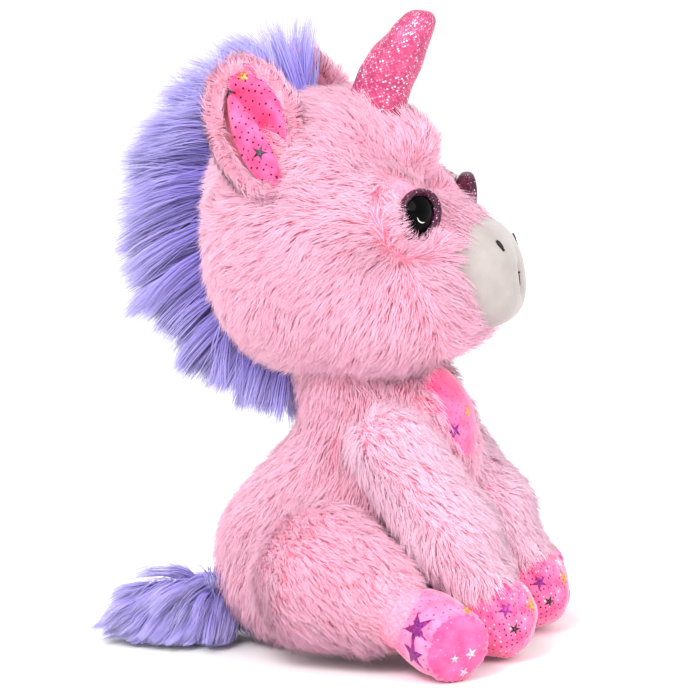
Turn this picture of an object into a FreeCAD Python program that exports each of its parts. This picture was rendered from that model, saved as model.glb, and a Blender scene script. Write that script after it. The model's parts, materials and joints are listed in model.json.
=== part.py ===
import FreeCAD, Part
import math
import os

import Sketcher
from FreeCAD import Matrix, Placement, Rotation, Vector

# A seated plush unicorn.  It faces -Y, its right side is -X and it sits on the plane Z = 0.
# All sizes are millimetres.  The right side is built first and the left side mirrors it.

os.makedirs("parts", exist_ok=True)
doc = FreeCAD.newDocument("plush_unicorn")
sheet = doc.addObject("Spreadsheet::Sheet", "Dimensions")

DIMENSIONS = [
    # fabric and clearances
    ("fur_thick", 3.0), ("velvet_thick", 1.6), ("print_thick", 1.4), ("seam_gap", 0.2),
    ("joint_gap", 0.4),
    # head: a turned block with large rounded shoulders, fuller below the eyes than above
    ("head_y", -8.5), ("head_z", 147.5), ("head_radius", 47.0), ("head_rise", 49.5),
    ("head_drop", 51.5), ("head_round_up", 38.0), ("head_round_down", 31.0),
    # neck: a ball of filling on a flat seam
    ("neck_y", -16.0), ("neck_z", 96.0), ("neck_radius", 22.0), ("neck_seam_z", 92.0),
    # muzzle
    ("muzzle_y", -56.3), ("muzzle_z", 131.5), ("muzzle_radius", 18.5), ("muzzle_spread", 4.5),
    ("muzzle_back_y", -44.0),
    ("stitch_radius", 0.8), ("nostril_x", 8.5), ("nostril_z", 142.5),
    ("nostril_length", 5.5), ("mouth_z", 126.5), ("mouth_drop", 7.0),
    # safety eyes
    ("eye_x", 30.0), ("eye_y", -48.5), ("eye_z", 155.0), ("eye_turn", 60.0),
    ("iris_radius", 9.0), ("iris_edge", 1.4), ("pupil_radius", 6.9), ("pupil_rise", 3.2),
    ("shank_radius", 2.4), ("shank_length", 15.0), ("washer_radius", 8.0),
    ("washer_thick", 1.6), ("washer_depth", 7.0),
    # ears, hinged along their front edge
    ("ear_x", 39.0), ("ear_y", -6.0), ("ear_z", 177.0), ("ear_rise", 7.0),
    ("ear_half_length", 26.5), ("ear_half_width", 17.5), ("ear_half_thick", 5.5),
    ("ear_lean", 22.0), ("ear_open", 14.0), ("ear_tip", 10.0), ("lining_scale", 0.78),
    ("lining_shift", 3.4), ("ear_fold_in", 5.0), ("ear_fold_out", 30.0),
    # horn
    ("horn_y", -25.0), ("horn_z", 190.0), ("horn_ball", 10.4), ("horn_neck", 10.0),
    ("horn_length", 32.0), ("horn_tip", 4.8), ("horn_lean", 29.0), ("horn_flare", 13.5),
    ("horn_pocket", 16.0),
    # mane
    ("mane_ring", 63.5), ("mane_radius", 13.0), ("mane_start", 16.0), ("mane_sweep", 122.0),
    ("mane_band_half", 9.0), ("mane_band_thick", 1.0),
    # torso: a seat ball and a chest ball joined by a cone
    ("seat_y", 4.0), ("seat_z", 31.0), ("seat_radius", 37.0), ("chest_y", -22.0),
    ("chest_z", 70.0), ("chest_radius", 33.5), ("torso_top", 92.0),
    # chest patch
    ("patch_half_width", 14.0), ("patch_low", 67.0), ("patch_high", 90.0), ("patch_y", -30.0),
    # bean pouch in the seat
    ("pouch_y", 8.0), ("pouch_z", 16.0), ("pouch_half_width", 14.0), ("pouch_half_depth", 20.0),
    ("pouch_half_height", 11.0), ("pouch_wall", 0.8),
    # front legs
    ("foreleg_x", 23.0), ("foreleg_y", -43.0), ("foreleg_z", 72.0), ("foreleg_ball", 16.0),
    ("foreleg_ankle", 13.6), ("foreleg_sleeve", 48.0), ("foreleg_length", 62.1),
    ("foreleg_lean", 24.0), ("hoof_radius", 14.0), ("foreleg_flare", 1.0),
    ("foreleg_swing", 30.0),
    # hind legs
    ("hind_x", 35.0), ("hind_y", -11.0), ("hind_z", 29.5), ("hind_ball", 25.5),
    ("hind_ankle", 13.2), ("hind_sleeve", 38.0), ("hind_length", 58.0), ("hind_turn", 24.0),
    ("hind_dip", 15.5), ("foot_radius", 12.4), ("sole_thick", 2.4), ("sole_round", 1.1),
    ("hind_flare", 6.0),
    # tail
    ("tail_y", 40.0), ("tail_z", 14.6), ("tail_ball", 8.0), ("tail_core_tip", 4.0),
    ("tail_core_length", 26.0), ("tail_pile_y", 64.4), ("tail_half_length", 17.8),
    ("tail_half_width", 16.0), ("tail_half_height", 14.5),
]

def fill_sheet():
    for row, (alias, value) in enumerate(DIMENSIONS, start=1):
        sheet.set(f"A{row}", alias)
        sheet.set(f"B{row}", str(value))
        sheet.setAlias(f"B{row}", alias)
    doc.recompute()


fill_sheet()


def size(alias):
    return float(sheet.get(alias))


def cell(alias):
    return f"Dimensions.{alias}"


nodes = []


def keep(feature, label):
    feature.Label = label
    nodes.append(feature)
    return feature


def made(shape, label, placement=None):
    """A feature whose shape is set by code, for the sewn soft forms that no primitive fits."""
    feature = doc.addObject("Part::Feature", label)
    feature.Shape = shape
    if placement is not None:
        feature.Placement = placement
    return keep(feature, label)


def mirrored(shape):
    return shape.mirror(Vector(0, 0, 0), Vector(1, 0, 0))


def both_sides(shape, label):
    """The right-hand piece and its mirror image on the left."""
    made(shape, f"{label}_right")
    made(mirrored(shape), f"{label}_left")


# ---- soft forms ---------------------------------------------------------------------------

def head_form(inset):
    """A turned solid: flat crown, round shoulder, straight side, round jaw and flat base."""
    radius = size("head_radius") - inset
    upper, lower = size("head_round_up") - inset, size("head_round_down") - inset
    top, bottom = size("head_rise") - inset, inset - size("head_drop")
    crown, jaw = radius - upper, radius - lower
    half = math.sqrt(0.5)

    def at(across, height):
        return Vector(across, 0, height)

    outline = Part.Wire([
        Part.makeLine(at(0, bottom), at(jaw, bottom)),
        Part.Arc(at(jaw, bottom), at(jaw + lower * half, bottom + lower * (1 - half)),
                 at(radius, bottom + lower)).toShape(),
        Part.makeLine(at(radius, bottom + lower), at(radius, top - upper)),
        Part.Arc(at(radius, top - upper), at(crown + upper * half, top - upper * (1 - half)),
                 at(crown, top)).toShape(),
        Part.makeLine(at(crown, top), at(0, top)),
        Part.makeLine(at(0, top), at(0, bottom)),
    ])
    form = Part.Face(outline).revolve(Vector(0, 0, 0), Vector(0, 0, 1), 360)
    form = Part.Solid(form) if form.ShapeType != "Solid" else form
    form.translate(Vector(0, size("head_y"), size("head_z")))
    return form


def capsule(start, end, start_radius, end_radius):
    """Two balls joined by the cone that touches both."""
    axis = end - start
    reach = axis.Length
    slope = (start_radius - end_radius) / reach
    rise = math.sqrt(1 - slope ** 2)
    foot = start + axis * (start_radius * slope / reach)
    head = end + axis * (end_radius * slope / reach)
    if start_radius == end_radius:
        side = Part.makeCylinder(start_radius, reach, start, axis)
    else:
        side = Part.makeCone(
            start_radius * rise, end_radius * rise, (head - foot).Length, foot, axis)
    return ball(start, start_radius).fuse([side, ball(end, end_radius)])


def muzzle_form(inset):
    spread = Vector(size("muzzle_spread"), 0, 0)
    middle = Vector(0, size("muzzle_y"), size("muzzle_z"))
    radius = size("muzzle_radius") - inset
    return capsule(middle - spread, middle + spread, radius, radius)


def torso_form(inset):
    seat = Vector(0, size("seat_y"), size("seat_z"))
    chest = Vector(0, size("chest_y"), size("chest_z"))
    form = capsule(seat, chest, size("seat_radius") - inset, size("chest_radius") - inset)
    reach, tall = 200, size("torso_top") - 2 * inset
    return form.common(Part.makeBox(reach, reach, tall, Vector(-reach / 2, -reach / 2, inset)))


def half_space(side):
    """Everything on one side of the middle seam."""
    reach = 200
    start = size("seam_gap") / 2 if side > 0 else -size("seam_gap") / 2 - reach
    return Part.makeBox(reach, 2 * reach, 2 * reach, Vector(start, -reach, -reach / 2))


def ball(centre, radius):
    return Part.makeSphere(radius, centre)


# ---- places and directions ----------------------------------------------------------------

NECK = Vector(0, size("neck_y"), size("neck_z"))
HORN = Vector(0, size("horn_y"), size("horn_z"))
FORELEG = Vector(-size("foreleg_x"), size("foreleg_y"), size("foreleg_z"))
HIND = Vector(-size("hind_x"), size("hind_y"), size("hind_z"))
TAIL = Vector(0, size("tail_y"), size("tail_z"))
EYE = Vector(-size("eye_x"), size("eye_y"), size("eye_z"))


def pointing(elevation, turn=0.0):
    """A unit vector that leaves -Y by turn degrees towards -X and rises by elevation degrees."""
    rise, sweep = math.radians(elevation), math.radians(turn)
    level = math.cos(rise)
    return Vector(-level * math.sin(sweep), -level * math.cos(sweep), math.sin(rise))


HORN_AXIS = pointing(90 - size("horn_lean"))
FORELEG_AXIS = pointing(size("foreleg_lean") - 90)
HIND_AXIS = pointing(-size("hind_dip"), size("hind_turn"))
TAIL_AXIS = Vector(0, 1, 0)
EYE_AXIS = pointing(0, 90 - size("eye_turn"))


def along(start, axis):
    """A placement whose origin is start and whose +Z runs along axis."""
    return Placement(start, Rotation(Vector(0, 0, 1), axis))


def limb_form(ball_radius, end_radius, length, inset):
    """A ball about the joint that tapers into a sleeve along +Z."""
    base = ball(Vector(0, 0, 0), ball_radius - inset)
    start = ball_radius * 0.25
    sleeve = Part.makeCone(
        ball_radius * 0.968 - inset, end_radius - inset, length - start, Vector(0, 0, start))
    return base.fuse(sleeve).removeSplitter()


def joint_pocket(start, axis, ball_radius, flare, length):
    """The room that a limb's ball and root need while it swings."""
    radius = ball_radius + size("joint_gap")
    room = Part.makeCone(radius, radius + flare, length, start, axis)
    return ball(start, radius).fuse(room)


def foreleg_pocket(axis):
    return joint_pocket(
        FORELEG, axis, size("foreleg_ball"), size("foreleg_flare"), size("foreleg_length"))


def limb_pockets():
    """Room for every limb; the forelegs' also at the top of their swing, before the chest."""
    resting = foreleg_pocket(FORELEG_AXIS)
    lifted = foreleg_pocket(pointing(size("foreleg_lean") + size("foreleg_swing") - 90))
    hind = joint_pocket(
        HIND, HIND_AXIS, size("hind_ball"), size("hind_flare"), size("hind_length"))
    tail = ball(TAIL, size("tail_ball") + size("joint_gap"))
    rooms = [tail]
    for room in (resting, lifted, hind):
        rooms += [room, mirrored(room)]
    return rooms


# ---- torso --------------------------------------------------------------------------------

def chest_block(margin):
    half = size("patch_half_width") + margin
    low, high = size("patch_low") - margin, size("patch_high") + margin
    depth = 60
    return Part.makeBox(
        2 * half, depth, high - low, Vector(-half, size("patch_y") - depth, low))


def pouch_ellipsoid(name, growth):
    form = doc.addObject("Part::Ellipsoid", name)
    form.setExpression("Radius1", f"{cell('pouch_half_height')} + {growth}")
    form.setExpression("Radius2", f"{cell('pouch_half_width')} + {growth}")
    form.setExpression("Radius3", f"{cell('pouch_half_depth')} + {growth}")
    form.setExpression("Placement.Base.y", cell("pouch_y"))
    form.setExpression("Placement.Base.z", cell("pouch_z"))
    return form


def build_pouch():
    """The seat's bean pouch and pellets; returns the room that they take in the stuffing."""
    outer = pouch_ellipsoid("pouch_outside", "0")
    inner = pouch_ellipsoid("pouch_inside", f"0 - {cell('pouch_wall')}")
    mouth = doc.addObject("Part::Cylinder", "pouch_mouth")
    mouth.Radius = 3
    mouth.setExpression("Height", cell("pouch_half_height"))
    mouth.setExpression("Placement.Base.y", cell("pouch_y"))
    mouth.setExpression("Placement.Base.z", cell("pouch_z"))
    hollow = doc.addObject("Part::MultiFuse", "pouch_hollow")
    hollow.Shapes = [inner, mouth]
    pouch = doc.addObject("Part::Cut", "bean_pouch")
    pouch.Base, pouch.Tool = outer, hollow
    keep(pouch, "bean_pouch")
    inset = f"0 - {cell('pouch_wall')} - {cell('seam_gap')}"
    keep(pouch_ellipsoid("bean_pellets", inset), "bean_pellets")
    room = pouch_ellipsoid("pouch_room", cell("seam_gap"))
    doc.recompute()
    return room.Shape


def build_torso():
    outside, inside = torso_form(0), torso_form(size("fur_thick"))
    pockets = limb_pockets()
    skin = outside.cut(inside).cut(pockets)
    patch_skin = outside.cut(torso_form(size("print_thick"))).cut(pockets)
    made(patch_skin.common(chest_block(0)), "chest_patch")
    opened = skin.cut(chest_block(size("seam_gap")))
    made(opened.common(half_space(-1)), "torso_fur_right")
    made(opened.common(half_space(1)), "torso_fur_left")
    room = build_pouch()
    filling = torso_form(size("fur_thick") + size("seam_gap")).cut(pockets).cut(room)
    made(filling, "torso_stuffing")


def build_neck():
    level = size("neck_seam_z") + size("joint_gap")
    reach = size("neck_radius") * 2
    below = Part.makeBox(
        2 * reach, 2 * reach, reach, Vector(-reach, NECK.y - reach, level - reach))
    made(ball(NECK, size("neck_radius")).cut(below), "neck_stuffing")


# ---- head ---------------------------------------------------------------------------------

def head_openings():
    """What the head leaves out for the neck, the horn, the muzzle and the eye stems."""
    gap = size("seam_gap")
    neck = ball(NECK, size("neck_radius") + size("joint_gap"))
    horn = joint_pocket(HORN, HORN_AXIS, size("horn_ball"), size("horn_flare"),
                        size("horn_pocket"))
    stem = Part.makeCylinder(
        size("shank_radius") + gap, size("shank_length") * 2,
        EYE - EYE_AXIS * (size("shank_length") + gap), EYE_AXIS)
    return [neck, horn, muzzle_form(-gap), stem, mirrored(stem)]


def washer_room():
    gap = size("seam_gap")
    start = EYE - EYE_AXIS * (size("washer_depth") + size("washer_thick") + gap)
    room = Part.makeCylinder(
        size("washer_radius") + gap, size("washer_thick") + 2 * gap, start, EYE_AXIS)
    return [room, mirrored(room)]


def iris_seat():
    """The fur is parted under the flat back of each eye."""
    gap = size("seam_gap")
    seat = Part.makeCylinder(size("iris_radius") + gap, 20, EYE - EYE_AXIS * gap, EYE_AXIS)
    return [seat, mirrored(seat)]


def build_head():
    outside, inside = head_form(0), head_form(size("fur_thick"))
    openings = head_openings()
    skin = outside.cut(inside).cut(openings + iris_seat() + washer_room())
    made(skin.common(half_space(-1)), "head_fur_right")
    made(skin.common(half_space(1)), "head_fur_left")
    filling = head_form(size("fur_thick") + size("seam_gap"))
    made(filling.cut(openings + washer_room() + iris_seat()), "head_stuffing")


def muzzle_point(x, z, lift):
    """The point of the muzzle's front above (x, z), lifted off it along -Y."""
    ray = Part.makeLine(Vector(x, size("muzzle_y"), z), Vector(x, size("muzzle_y") - 60, z))
    touch = ray.common(muzzle_form(0))
    return Vector(x, touch.BoundBox.YMin - lift, z)


def stitch_lines():
    """The ends of each embroidered line, by name."""
    lift = size("stitch_radius") * 0.5
    half = size("nostril_length") / 2
    lines = {}
    for side, name in ((-1, "right"), (1, "left")):
        middle, level = side * size("nostril_x"), size("nostril_z")
        lines[f"nostril_stitch_{name}"] = (
            muzzle_point(middle - side * half * 0.5, level - half * 0.8, lift),
            muzzle_point(middle + side * half * 0.5, level + half * 0.8, lift))
    level, drop = size("mouth_z"), size("mouth_drop")
    lines["mouth_stitch"] = (muzzle_point(0, level + drop, lift), muzzle_point(0, level, lift))
    return lines


def thread(ends, radius):
    """A straight round thread with ball ends, half sunk in the muzzle's front."""
    first, last = ends
    span = last - first
    middle = Part.makeCylinder(radius, span.Length, first, span)
    return middle.fuse([ball(first, radius), ball(last, radius)]).removeSplitter()


def build_muzzle():
    depth = 60
    front = Part.makeBox(
        2 * depth, depth, 2 * depth,
        Vector(-depth, size("muzzle_back_y") - depth, size("muzzle_z") - depth))
    radius, gap = size("stitch_radius"), size("seam_gap")
    lines = stitch_lines()
    grooves = [thread(ends, radius + gap) for ends in lines.values()]
    skin = muzzle_form(0).cut(muzzle_form(size("velvet_thick"))).cut(grooves)
    made(skin.common(front), "muzzle_cover")
    filling = muzzle_form(size("velvet_thick") + gap)
    made(filling, "muzzle_stuffing")
    for label, ends in lines.items():
        made(thread(ends, radius), label)


# ---- safety eyes --------------------------------------------------------------------------

def origin_plane(body, role):
    return next(part for part in body.Origin.OriginFeatures if part.Role == role)


def sketch_on(body, role, name):
    sketch = body.newObject("Sketcher::SketchObject", name)
    sketch.AttachmentSupport = [(origin_plane(body, role), "")]
    sketch.MapMode = "FlatFace"
    return sketch


def add_circle(sketch, radius_cells):
    """A circle about the sketch's origin whose radius is an expression of the sheet."""
    index = sketch.addGeometry(Part.Circle(Vector(0, 0, 0), Vector(0, 0, 1), 5), False)
    sketch.addConstraint(Sketcher.Constraint("Coincident", index, 3, -1, 1))
    number = sketch.addConstraint(Sketcher.Constraint("Radius", index, 5))
    sketch.setExpression(f"Constraints[{number}]", radius_cells)


def padded_disc(label, radius_cells, length_cells, placement, hole_cells=None, round_cells=None):
    """A disc on the plane z = 0 that stands along +Z, with an optional hole or rounded rim."""
    body = doc.addObject("PartDesign::Body", label)
    sketch = sketch_on(body, "XY_Plane", f"{label}_outline")
    add_circle(sketch, radius_cells)
    if hole_cells:
        add_circle(sketch, hole_cells)
    pad = body.newObject("PartDesign::Pad", f"{label}_pad")
    pad.Profile = sketch
    pad.setExpression("Length", length_cells)
    doc.recompute()
    if round_cells:
        rim = body.newObject("PartDesign::Fillet", f"{label}_rim")
        rim.Base = (pad, [top_edge(pad.Shape)])
        rim.setExpression("Radius", round_cells)
        body.Tip = rim
    body.Placement = placement
    doc.recompute()
    return keep(body, label)


def top_edge(shape):
    highest = max(range(len(shape.Edges)), key=lambda i: shape.Edges[i].BoundBox.ZMin)
    return f"Edge{highest + 1}"


def domed_cap(label, placement):
    """The pupil: a shallow dome of revolution over a flat back."""
    body = doc.addObject("PartDesign::Body", label)
    sketch = sketch_on(body, "XZ_Plane", f"{label}_profile")
    radius, rise = size("pupil_radius"), size("pupil_rise")
    curve_radius = (radius ** 2 + rise ** 2) / (2 * rise)
    half_angle = math.asin(radius / curve_radius)
    middle = Vector(0, rise - curve_radius, 0)
    arc = Part.ArcOfCircle(
        Part.Circle(middle, Vector(0, 0, 1), curve_radius), math.pi / 2 - half_angle, math.pi / 2)
    sketch.addGeometry(arc, False)
    sketch.addGeometry(Part.LineSegment(Vector(0, rise, 0), Vector(0, 0, 0)), False)
    sketch.addGeometry(Part.LineSegment(Vector(0, 0, 0), Vector(radius, 0, 0)), False)
    for pair in ((0, 2, 1, 1), (1, 2, 2, 1), (2, 2, 0, 1), (1, 2, -1, 1)):
        sketch.addConstraint(Sketcher.Constraint("Coincident", *pair))
    sketch.addConstraint(Sketcher.Constraint("Vertical", 1))
    sketch.addConstraint(Sketcher.Constraint("Horizontal", 2))
    sketch.addConstraint(Sketcher.Constraint("PointOnObject", 0, 3, -2))
    height = sketch.addConstraint(Sketcher.Constraint("DistanceY", -1, 1, 0, 2, rise))
    sketch.setExpression(f"Constraints[{height}]", cell("pupil_rise"))
    width = sketch.addConstraint(Sketcher.Constraint("DistanceX", -1, 1, 0, 1, radius))
    sketch.setExpression(f"Constraints[{width}]", cell("pupil_radius"))
    turn = body.newObject("PartDesign::Revolution", f"{label}_turn")
    turn.Profile = sketch
    turn.ReferenceAxis = (sketch, ["V_Axis"])
    turn.Angle = 360
    body.Placement = placement
    doc.recompute()
    return keep(body, label)


def build_eyes():
    for side, name in ((-1, "right"), (1, "left")):
        start = Vector(side * abs(EYE.x), EYE.y, EYE.z)
        axis = Vector(side * abs(EYE_AXIS.x), EYE_AXIS.y, EYE_AXIS.z)
        gap = size("seam_gap")
        padded_disc(f"eye_iris_{name}", cell("iris_radius"), cell("iris_edge"),
                    along(start, axis), round_cells=f"{cell('iris_edge')} * 0.6")
        domed_cap(f"eye_pupil_{name}", along(start + axis * (size("iris_edge") + gap / 4), axis))
        padded_disc(f"eye_shank_{name}", cell("shank_radius"), cell("shank_length"),
                    along(start - axis * (size("shank_length") + gap / 4), axis))
        washer_start = start - axis * (size("washer_depth") + size("washer_thick"))
        padded_disc(f"eye_washer_{name}", cell("washer_radius"), cell("washer_thick"),
                    along(washer_start, axis),
                    hole_cells=f"{cell('shank_radius')} + 0.05")


# ---- ears ---------------------------------------------------------------------------------

def ear_frame():
    """The ear's own axes: +X out of the lining, -Y from the hinge to the free edge, +Z up it."""
    lean = Rotation(Vector(0, 1, 0), size("ear_lean"))
    opened = Rotation(Vector(0, 0, 1), 180 + size("ear_open"))
    hinge = Vector(-size("ear_x"), size("ear_y"), size("ear_z"))
    return Placement(hinge, lean.multiply(opened))


def leaf_form(scale, shift):
    """An almond-shaped lens in the ear's own axes whose front edge lies on the local Z axis.

    It is the space that four large balls share: two set its thickness, two its outline.
    """
    half = size("ear_half_length") * scale
    thin, wide = size("ear_half_thick"), size("ear_half_width") * scale
    face_radius = (half ** 2 + thin ** 2) / (2 * thin)
    side_radius = (half ** 2 + wide ** 2) / (2 * wide)
    leaf = ball(Vector(thin - face_radius, 0, 0), face_radius).common([
        ball(Vector(face_radius - thin, 0, 0), face_radius)])
    leaf = leaf.common([ball(Vector(0, wide - side_radius, 0), side_radius)])
    leaf = leaf.common([ball(Vector(0, side_radius - wide, 0), side_radius)])
    leaf.rotate(Vector(0, 0, 0), Vector(1, 0, 0), size("ear_tip"))
    leaf.translate(Vector(shift, -size("ear_half_width") * 0.93, size("ear_rise")))
    return leaf


def heads_about_ear(frame):
    """The head, as the ear meets it at steps of its fold, in the ear's own axes."""
    head = head_form(-2 * size("seam_gap"))
    head.Placement = frame.inverse().multiply(head.Placement)
    poses = []
    for angle in (-size("ear_fold_in"), 0, size("ear_fold_out") / 2, size("ear_fold_out")):
        pose = head.copy()
        pose.rotate(Vector(0, 0, 0), Vector(0, 0, 1), -angle)
        poses.append(pose)
    return poses


def cut_in_turn(shape, tools):
    for tool in tools:
        shape = shape.cut(tool)
    return shape


def build_ears():
    scale, cloth, gap = size("lining_scale"), size("print_thick"), size("seam_gap")
    shift = size("lining_shift") + size("ear_half_thick") * 0.55
    frame = ear_frame()
    heads = heads_about_ear(frame)
    whole = leaf_form(1.0, 0)
    outer = cut_in_turn(whole, [leaf_form(scale * 1.02, shift - cloth - gap)] + heads)
    lining = leaf_form(scale, shift - cloth).cut(leaf_form(scale, shift)).common(whole)
    lining = cut_in_turn(lining, heads)
    for shape, label in ((outer, "ear_fur"), (lining, "ear_lining")):
        shape.Placement = frame.multiply(shape.Placement)
        both_sides(shape, label)


# ---- horn ---------------------------------------------------------------------------------

def horn_form(inset):
    start = size("horn_ball") * 0.3
    base = ball(Vector(0, 0, 0), size("horn_ball") - inset)
    cone = Part.makeCone(size("horn_neck") - inset, size("horn_tip") - inset,
                         size("horn_length") - start, Vector(0, 0, start))
    tip = ball(Vector(0, 0, size("horn_length")), size("horn_tip") - inset)
    return base.fuse([cone, tip]).removeSplitter()


def build_horn():
    cloth = size("print_thick")
    floor = Part.makeCylinder(size("horn_ball") * 0.6, size("horn_ball"),
                              Vector(0, 0, -size("horn_ball")))
    cover = horn_form(0).cut([horn_form(cloth), floor])
    filling = horn_form(cloth + size("seam_gap"))
    place = along(HORN, HORN_AXIS)
    made(cover, "horn_cover", place)
    made(filling, "horn_stuffing", place)


# ---- mane ---------------------------------------------------------------------------------

def build_mane():
    band = size("mane_band_thick")
    gap = size("seam_gap")
    ring = doc.addObject("Part::Torus", "mane_ring")
    ring.setExpression("Radius1", cell("mane_ring"))
    ring.setExpression("Radius2", cell("mane_radius"))
    ring.setExpression("Angle3", cell("mane_sweep"))
    doc.recompute()
    arc = ring.Shape.copy()
    start = Rotation(Vector(0, 0, 1), 90 - size("mane_start") - size("mane_sweep"))
    upright = Rotation(Vector(0, 1, 0), Vector(0, 0, 1), Vector(1, 0, 0), "XYZ")
    arc.Placement = Placement(
        Vector(0, size("head_y"), size("head_z")), upright.multiply(start))
    made(arc.cut(head_form(-(band + 2 * gap))), "mane_pile")
    strip = head_form(-(band + gap)).cut(head_form(-gap))
    slot = Part.makeBox(
        2 * size("mane_band_half"), 120, 120,
        Vector(-size("mane_band_half"), 0, 0))
    wedge = slot.copy()
    wedge.translate(Vector(0, 2, size("head_z") - 42))
    made(strip.common(wedge), "mane_backing")


# ---- legs and tail ------------------------------------------------------------------------

def sleeve_shell(ball_radius, ankle, sleeve, inset):
    outside = limb_form(ball_radius, ankle, sleeve, 0)
    inside = limb_form(ball_radius, ankle, sleeve, inset)
    mouth = Part.makeCylinder(ankle - inset, inset * 2, Vector(0, 0, sleeve - inset))
    return outside.cut([inside, mouth])


def build_forelegs():
    radius, ankle = size("foreleg_ball"), size("foreleg_ankle")
    sleeve, length, hoof = size("foreleg_sleeve"), size("foreleg_length"), size("hoof_radius")
    gap, cloth = size("seam_gap"), size("print_thick")
    above = Part.makeBox(100, 100, 100, Vector(-50, -50, sleeve + gap - 100))
    cover = ball(Vector(0, 0, length), hoof).fuse(
        Part.makeCylinder(ankle, length - sleeve, Vector(0, 0, sleeve))).cut(above)
    hollow = ball(Vector(0, 0, length), hoof - cloth).fuse(
        Part.makeCylinder(ankle - cloth, length - sleeve, Vector(0, 0, sleeve)))
    filling = limb_form(radius, ankle, sleeve, size("fur_thick") + gap).fuse([
        Part.makeCylinder(ankle - size("fur_thick") - gap, length - sleeve,
                          Vector(0, 0, sleeve)),
        ball(Vector(0, 0, length), hoof - cloth - gap)])
    place = along(FORELEG, FORELEG_AXIS)
    for shape, label in (
            (sleeve_shell(radius, ankle, sleeve, size("fur_thick")), "foreleg_fur"),
            (filling, "foreleg_stuffing"),
            (cover.cut(hollow), "fore_hoof")):
        shape.Placement = place
        both_sides(shape, label)


def build_hind_legs():
    radius, ankle = size("hind_ball"), size("hind_ankle")
    sleeve, length, foot = size("hind_sleeve"), size("hind_length"), size("foot_radius")
    gap, cloth, inset = size("seam_gap"), size("print_thick"), size("fur_thick")
    start = sleeve + gap
    band = Part.makeCylinder(foot, length - start, Vector(0, 0, start))
    bore = Part.makeCylinder(foot - cloth, length, Vector(0, 0, start))
    filling = limb_form(radius, ankle, sleeve, inset + gap).fuse(
        Part.makeCylinder(ankle - inset - gap, length - gap - sleeve, Vector(0, 0, sleeve)))
    place = along(HIND, HIND_AXIS)
    for shape, label in (
            (sleeve_shell(radius, ankle, sleeve, inset), "hind_leg_fur"),
            (filling, "hind_leg_stuffing"),
            (band.cut(bore), "hind_hoof")):
        shape.Placement = place
        both_sides(shape, label)
    for side, name in ((-1, "right"), (1, "left")):
        axis = Vector(side * abs(HIND_AXIS.x), HIND_AXIS.y, HIND_AXIS.z)
        hip = Vector(side * abs(HIND.x), HIND.y, HIND.z)
        padded_disc(f"hind_sole_{name}", cell("foot_radius"), cell("sole_thick"),
                    along(hip + axis * (length + gap / 2), axis),
                    round_cells=cell("sole_round"))


def build_tail():
    core = doc.addObject("Part::Cone", "tail_core_cone")
    core.setExpression("Radius1", f"{cell('tail_ball')} * 0.9")
    core.setExpression("Radius2", cell("tail_core_tip"))
    core.setExpression("Height", cell("tail_core_length"))
    root = doc.addObject("Part::Sphere", "tail_core_root")
    root.setExpression("Radius", cell("tail_ball"))
    joined = doc.addObject("Part::MultiFuse", "tail_core")
    joined.Shapes = [core, root]
    joined.Placement = along(TAIL, TAIL_AXIS)
    doc.recompute()
    keep(joined, "tail_core")
    stretch = Matrix()
    stretch.scale(size("tail_half_width"), size("tail_half_length"), size("tail_half_height"))
    pile = ball(Vector(0, 0, 0), 1).transformGeometry(stretch)
    pile.translate(Vector(0, size("tail_pile_y"), size("tail_z")))
    gap = size("seam_gap")
    room = Part.makeCone(size("tail_ball") * 0.9 + gap, size("tail_core_tip") + gap,
                         size("tail_core_length") + gap, TAIL, TAIL_AXIS)
    made(pile.cut(room), "tail_pile")


def check_and_export():
    doc.recompute()
    for item in doc.Objects:
        if {"Invalid", "Error"} & set(item.State):
            raise RuntimeError(f"{item.Name} did not recompute: {item.State}")
    for node in nodes:
        if node.Shape.isNull() or not node.Shape.isValid() or not node.Shape.Solids:
            raise RuntimeError(f"{node.Label} is not a valid solid")
    for node in nodes:
        node.Shape.exportStep(f"parts/{node.Label}.step")
        print(f"{node.Label}: {len(node.Shape.Solids)} solid, {node.Shape.Volume:.0f} mm3")


build_torso()
build_neck()
build_head()
build_muzzle()
build_eyes()
build_ears()
build_horn()
build_mane()
build_forelegs()
build_hind_legs()
build_tail()
check_and_export()
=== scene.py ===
import json
from math import cos, pi, radians, sin, sqrt, tau

import bpy
import numpy as np
from mathutils import Matrix, Vector
from mathutils.bvhtree import BVHTree


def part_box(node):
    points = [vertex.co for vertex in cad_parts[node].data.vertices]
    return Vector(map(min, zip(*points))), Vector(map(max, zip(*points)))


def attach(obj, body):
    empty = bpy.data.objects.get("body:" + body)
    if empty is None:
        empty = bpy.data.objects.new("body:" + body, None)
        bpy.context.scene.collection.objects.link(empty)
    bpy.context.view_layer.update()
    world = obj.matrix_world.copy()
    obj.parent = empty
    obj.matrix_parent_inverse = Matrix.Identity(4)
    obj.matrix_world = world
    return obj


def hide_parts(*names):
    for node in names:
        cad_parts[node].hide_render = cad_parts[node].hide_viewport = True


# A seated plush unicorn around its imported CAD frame.  Shapes are worked out in millimetres
# and become metres when a mesh is made.  The toy faces -Y and its right side is -X.

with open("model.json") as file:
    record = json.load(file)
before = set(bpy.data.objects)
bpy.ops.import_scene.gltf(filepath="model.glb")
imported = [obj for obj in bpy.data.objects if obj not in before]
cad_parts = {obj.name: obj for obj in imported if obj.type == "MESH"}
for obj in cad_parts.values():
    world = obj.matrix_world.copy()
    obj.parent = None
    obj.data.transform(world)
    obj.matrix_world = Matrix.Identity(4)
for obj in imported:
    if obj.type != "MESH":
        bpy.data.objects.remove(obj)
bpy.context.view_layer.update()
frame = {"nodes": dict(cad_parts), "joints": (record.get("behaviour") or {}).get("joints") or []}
scene = bpy.context.scene

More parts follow.
